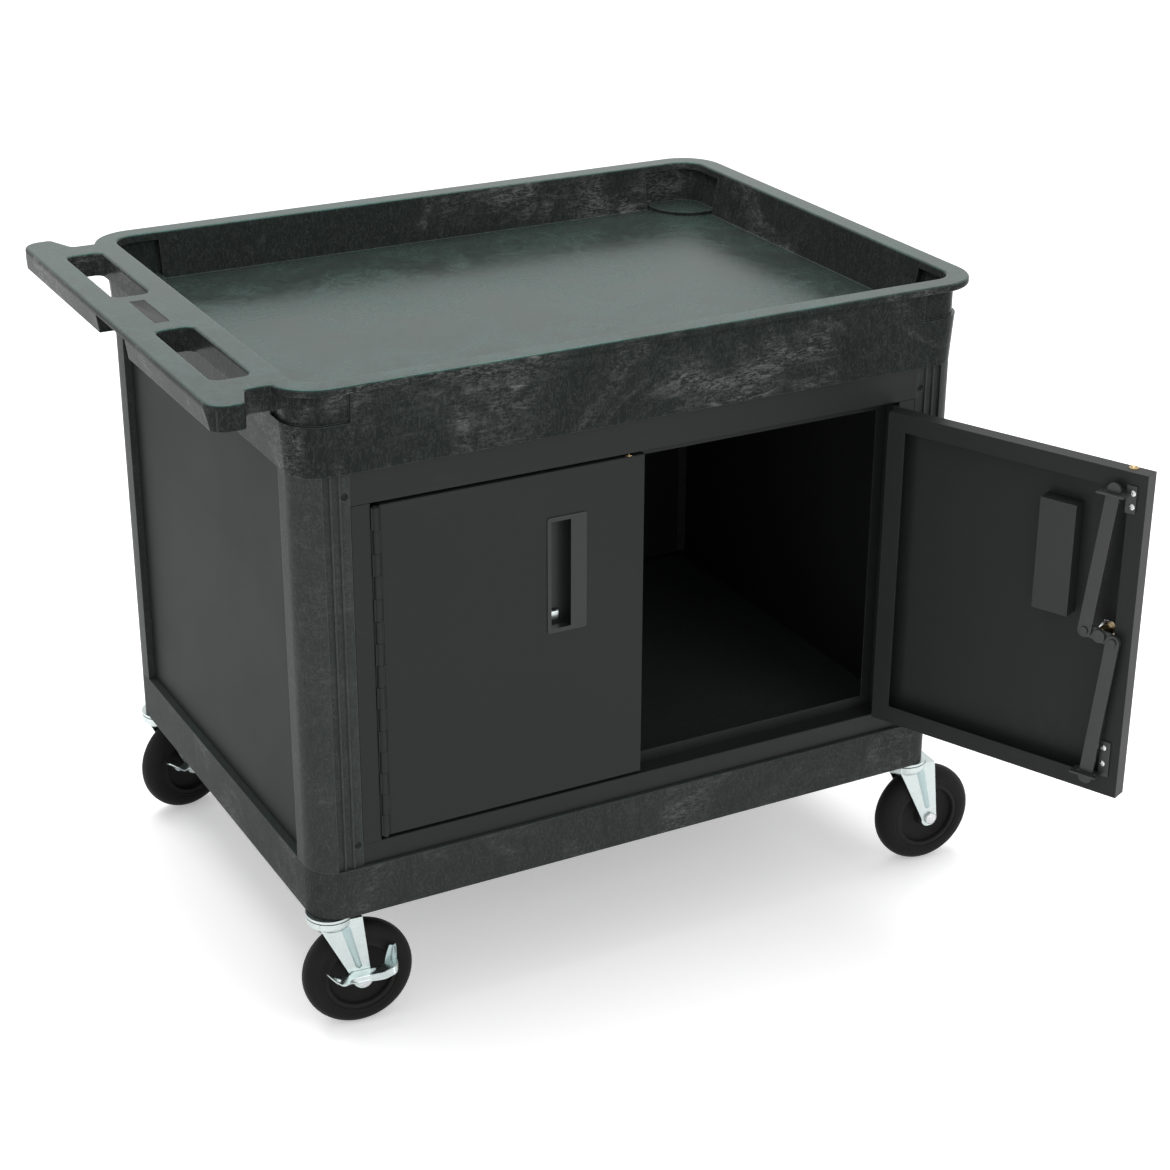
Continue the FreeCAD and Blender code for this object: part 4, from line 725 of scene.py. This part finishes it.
class CART_OT_fittings(bpy.types.Operator):
    """The bare plate let into the handle and the small catch in the left pull"""
    bl_idname = "cart.fittings"
    bl_label = "Small fittings"

    def execute(self, context):
        bm = bmesh.new()
        bmesh.ops.create_grid(bm, x_segments=1, y_segments=1, size=0.5)
        bmesh.ops.scale(bm, verts=bm.verts, vec=(16.4 * MM, 83.4 * MM, 1))
        bmesh.ops.bevel(bm, geom=bm.verts[:], offset=3 * MM, offset_type="OFFSET", affect="VERTICES",
                        segments=6, profile=0.5, material=-1, clamp_overlap=True)
        rise = bmesh.ops.extrude_face_region(bm, geom=bm.faces[:])
        tops = [item for item in rise["geom"] if isinstance(item, bmesh.types.BMVert)]
        bmesh.ops.translate(bm, verts=tops, vec=(0, 0, 0.5 * MM))
        cap = [f for f in bm.faces if all(v in tops for v in f.verts)]
        bmesh.ops.inset_region(bm, faces=cap, thickness=1.1 * MM, depth=-0.18 * MM)
        handle_low, handle_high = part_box("top_tub")
        spot = Vector((handle_low.x + 48.9 * MM, CENTRE_Y + 2 * MM, handle_high.z - 0.58 * MM))
        keep(bm, "handle_plate", "plate_plastic", "cart", Matrix.Translation(spot))

        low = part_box("pull_cup_left")[0]
        bm = bmesh.new()
        bmesh.ops.create_grid(bm, x_segments=6, y_segments=8, size=0.5)
        for vert in bm.verts:
            along, up = vert.co.x + 0.5, vert.co.y + 0.5
            vert.co = Vector((low.x + (9 + 12 * along) * MM, low.y + (15.2 + 1.0 * (1 - up) ** 2) * MM,
                              low.z + (8 + 12 * up) * MM))
        bmesh.ops.solidify(bm, geom=bm.faces[:] + bm.edges[:] + bm.verts[:], thickness=0.9 * MM)
        keep(bm, "pull_tongue", "bright_zinc", "door_left")
        return {"FINISHED"}


class CART_OT_stage(bpy.types.Operator):
    """Set the floor, the soft lamps, the surroundings and the camera"""
    bl_idname = "cart.stage"
    bl_label = "Stage"

    def execute(self, context):
        stage = context.scene.cart_stage
        bm = bmesh.new()
        bmesh.ops.create_grid(bm, x_segments=1, y_segments=1, size=stage.floor_size / 2)
        bmesh.ops.translate(bm, verts=bm.verts, vec=(0, 0, -0.0005))
        mesh = bpy.data.meshes.new("floor")
        bm.to_mesh(mesh)
        bm.free()
        floor = bpy.data.objects.new("floor", mesh)
        context.scene.collection.objects.link(floor)
        material, tree, shader, place = new_finish("pale_floor")
        tone = spread(tree, noise(tree, place, 3.0, 3.0), 0.99, 1.0)
        shade = blend(tree, 1.0, rgba(stage.floor), add(tree, "ShaderNodeCombineColor",
                      {0: tone, 1: tone, 2: tone}).outputs[0], "MULTIPLY")
        tree.links.new(shade, shader.inputs["Base Color"])
        shader.inputs["Roughness"].default_value = 0.9
        shader.inputs["Specular IOR Level"].default_value = 0.1
        rays = add(tree, "ShaderNodeLightPath").outputs
        seen = maths(tree, "MAXIMUM", rays["Is Camera Ray"], rays["Is Transmission Ray"])
        seen = maths(tree, "MAXIMUM", seen, rays["Is Glossy Ray"])
        glow = add(tree, "ShaderNodeMapRange", {"Value": seen, "To Min": 0.0, "To Max": stage.floor_glow})
        tree.links.new(glow.outputs["Result"], shader.inputs["Emission Strength"])
        mesh.materials.append(material)

        world = bpy.data.worlds.new("surroundings")
        context.scene.world = world
        world.use_nodes = True
        tree = world.node_tree
        back = tree.nodes["Background"]
        rays = add(tree, "ShaderNodeLightPath").outputs
        seen = maths(tree, "MAXIMUM", rays["Is Camera Ray"], rays["Is Transmission Ray"])
        seen = maths(tree, "MAXIMUM", seen, rays["Is Glossy Ray"])
        strength = add(tree, "ShaderNodeMapRange", {"Value": seen, "To Min": stage.sky, "To Max": 1.0})
        tree.links.new(strength.outputs["Result"], back.inputs["Strength"])
        back.inputs["Color"].default_value = (1, 1, 1, 1)

        middle = Vector((CENTRE_X, FRONT_Y + 0.30, 0.45))
        for name, power, spot, size in (("overhead_lamp", stage.lamp_power, (0.1, 0.9, 3.4), (3.6, 2.6)),
                                        ("front_lamp", stage.fill_power, (0.9, -3.5, 2.3), (2.0, 2.0))):
            lamp = bpy.data.lights.new(name, "AREA")
            lamp.shape = "RECTANGLE"
            lamp.energy = power
            lamp.size, lamp.size_y = size
            holder = bpy.data.objects.new(name, lamp)
            holder.location = spot
            holder.rotation_euler = (middle - Vector(spot)).to_track_quat("-Z", "Y").to_euler()
            context.scene.collection.objects.link(holder)

        data = bpy.data.cameras.new("photograph_view")
        data.sensor_width = 36
        data.lens = stage.lens
        data.clip_end = 200
        camera = bpy.data.objects.new("photograph_view", data)
        turn = (Matrix.Rotation(stage.camera_yaw, 4, "Z")
                @ Matrix.Rotation(math.pi / 2 - stage.camera_pitch, 4, "X")
                @ Matrix.Rotation(stage.camera_roll, 4, "Z"))
        camera.matrix_world = Matrix.Translation(stage.camera_at) @ turn
        context.scene.collection.objects.link(camera)
        context.scene.camera = camera
        context.scene.view_settings.view_transform = "Standard"
        return {"FINISHED"}


class CART_PT_sidebar(bpy.types.Panel):
    """Buttons for each group of the cart's pieces"""
    bl_label = "Microwave Cart"
    bl_idname = "CART_PT_sidebar"
    bl_space_type = "VIEW_3D"
    bl_region_type = "UI"
    bl_category = "Cart"

    def draw(self, context):
        for operator in OPERATORS:
            self.layout.operator(operator.bl_idname)
        for group in ("cart_finish", "cart_detail", "cart_stage"):
            box = self.layout.box()
            values = getattr(context.scene, group)
            for key in values.bl_rna.properties.keys():
                if key not in ("rna_type", "name"):
                    box.prop(values, key)


GROUPS = {"cart_finish": CartFinish, "cart_detail": CartDetail, "cart_stage": CartStage}
OPERATORS = (CART_OT_finishes, CART_OT_wheels, CART_OT_forks, CART_OT_axles, CART_OT_pedals, CART_OT_screws,
             CART_OT_fittings, CART_OT_stage)


def register():
    for item in (*GROUPS.values(), *OPERATORS, CART_PT_sidebar):
        bpy.utils.register_class(item)
    for name, item in GROUPS.items():
        setattr(bpy.types.Scene, name, PointerProperty(type=item))


def unregister():
    for name in GROUPS:
        delattr(bpy.types.Scene, name)
    for item in (CART_PT_sidebar, *reversed(OPERATORS), *reversed(tuple(GROUPS.values()))):
        bpy.utils.unregister_class(item)


def main():
    register()
    for operator in OPERATORS:
        group, name = operator.bl_idname.split(".")
        getattr(getattr(bpy.ops, group), name)()


if __name__ == "__main__":
    main()
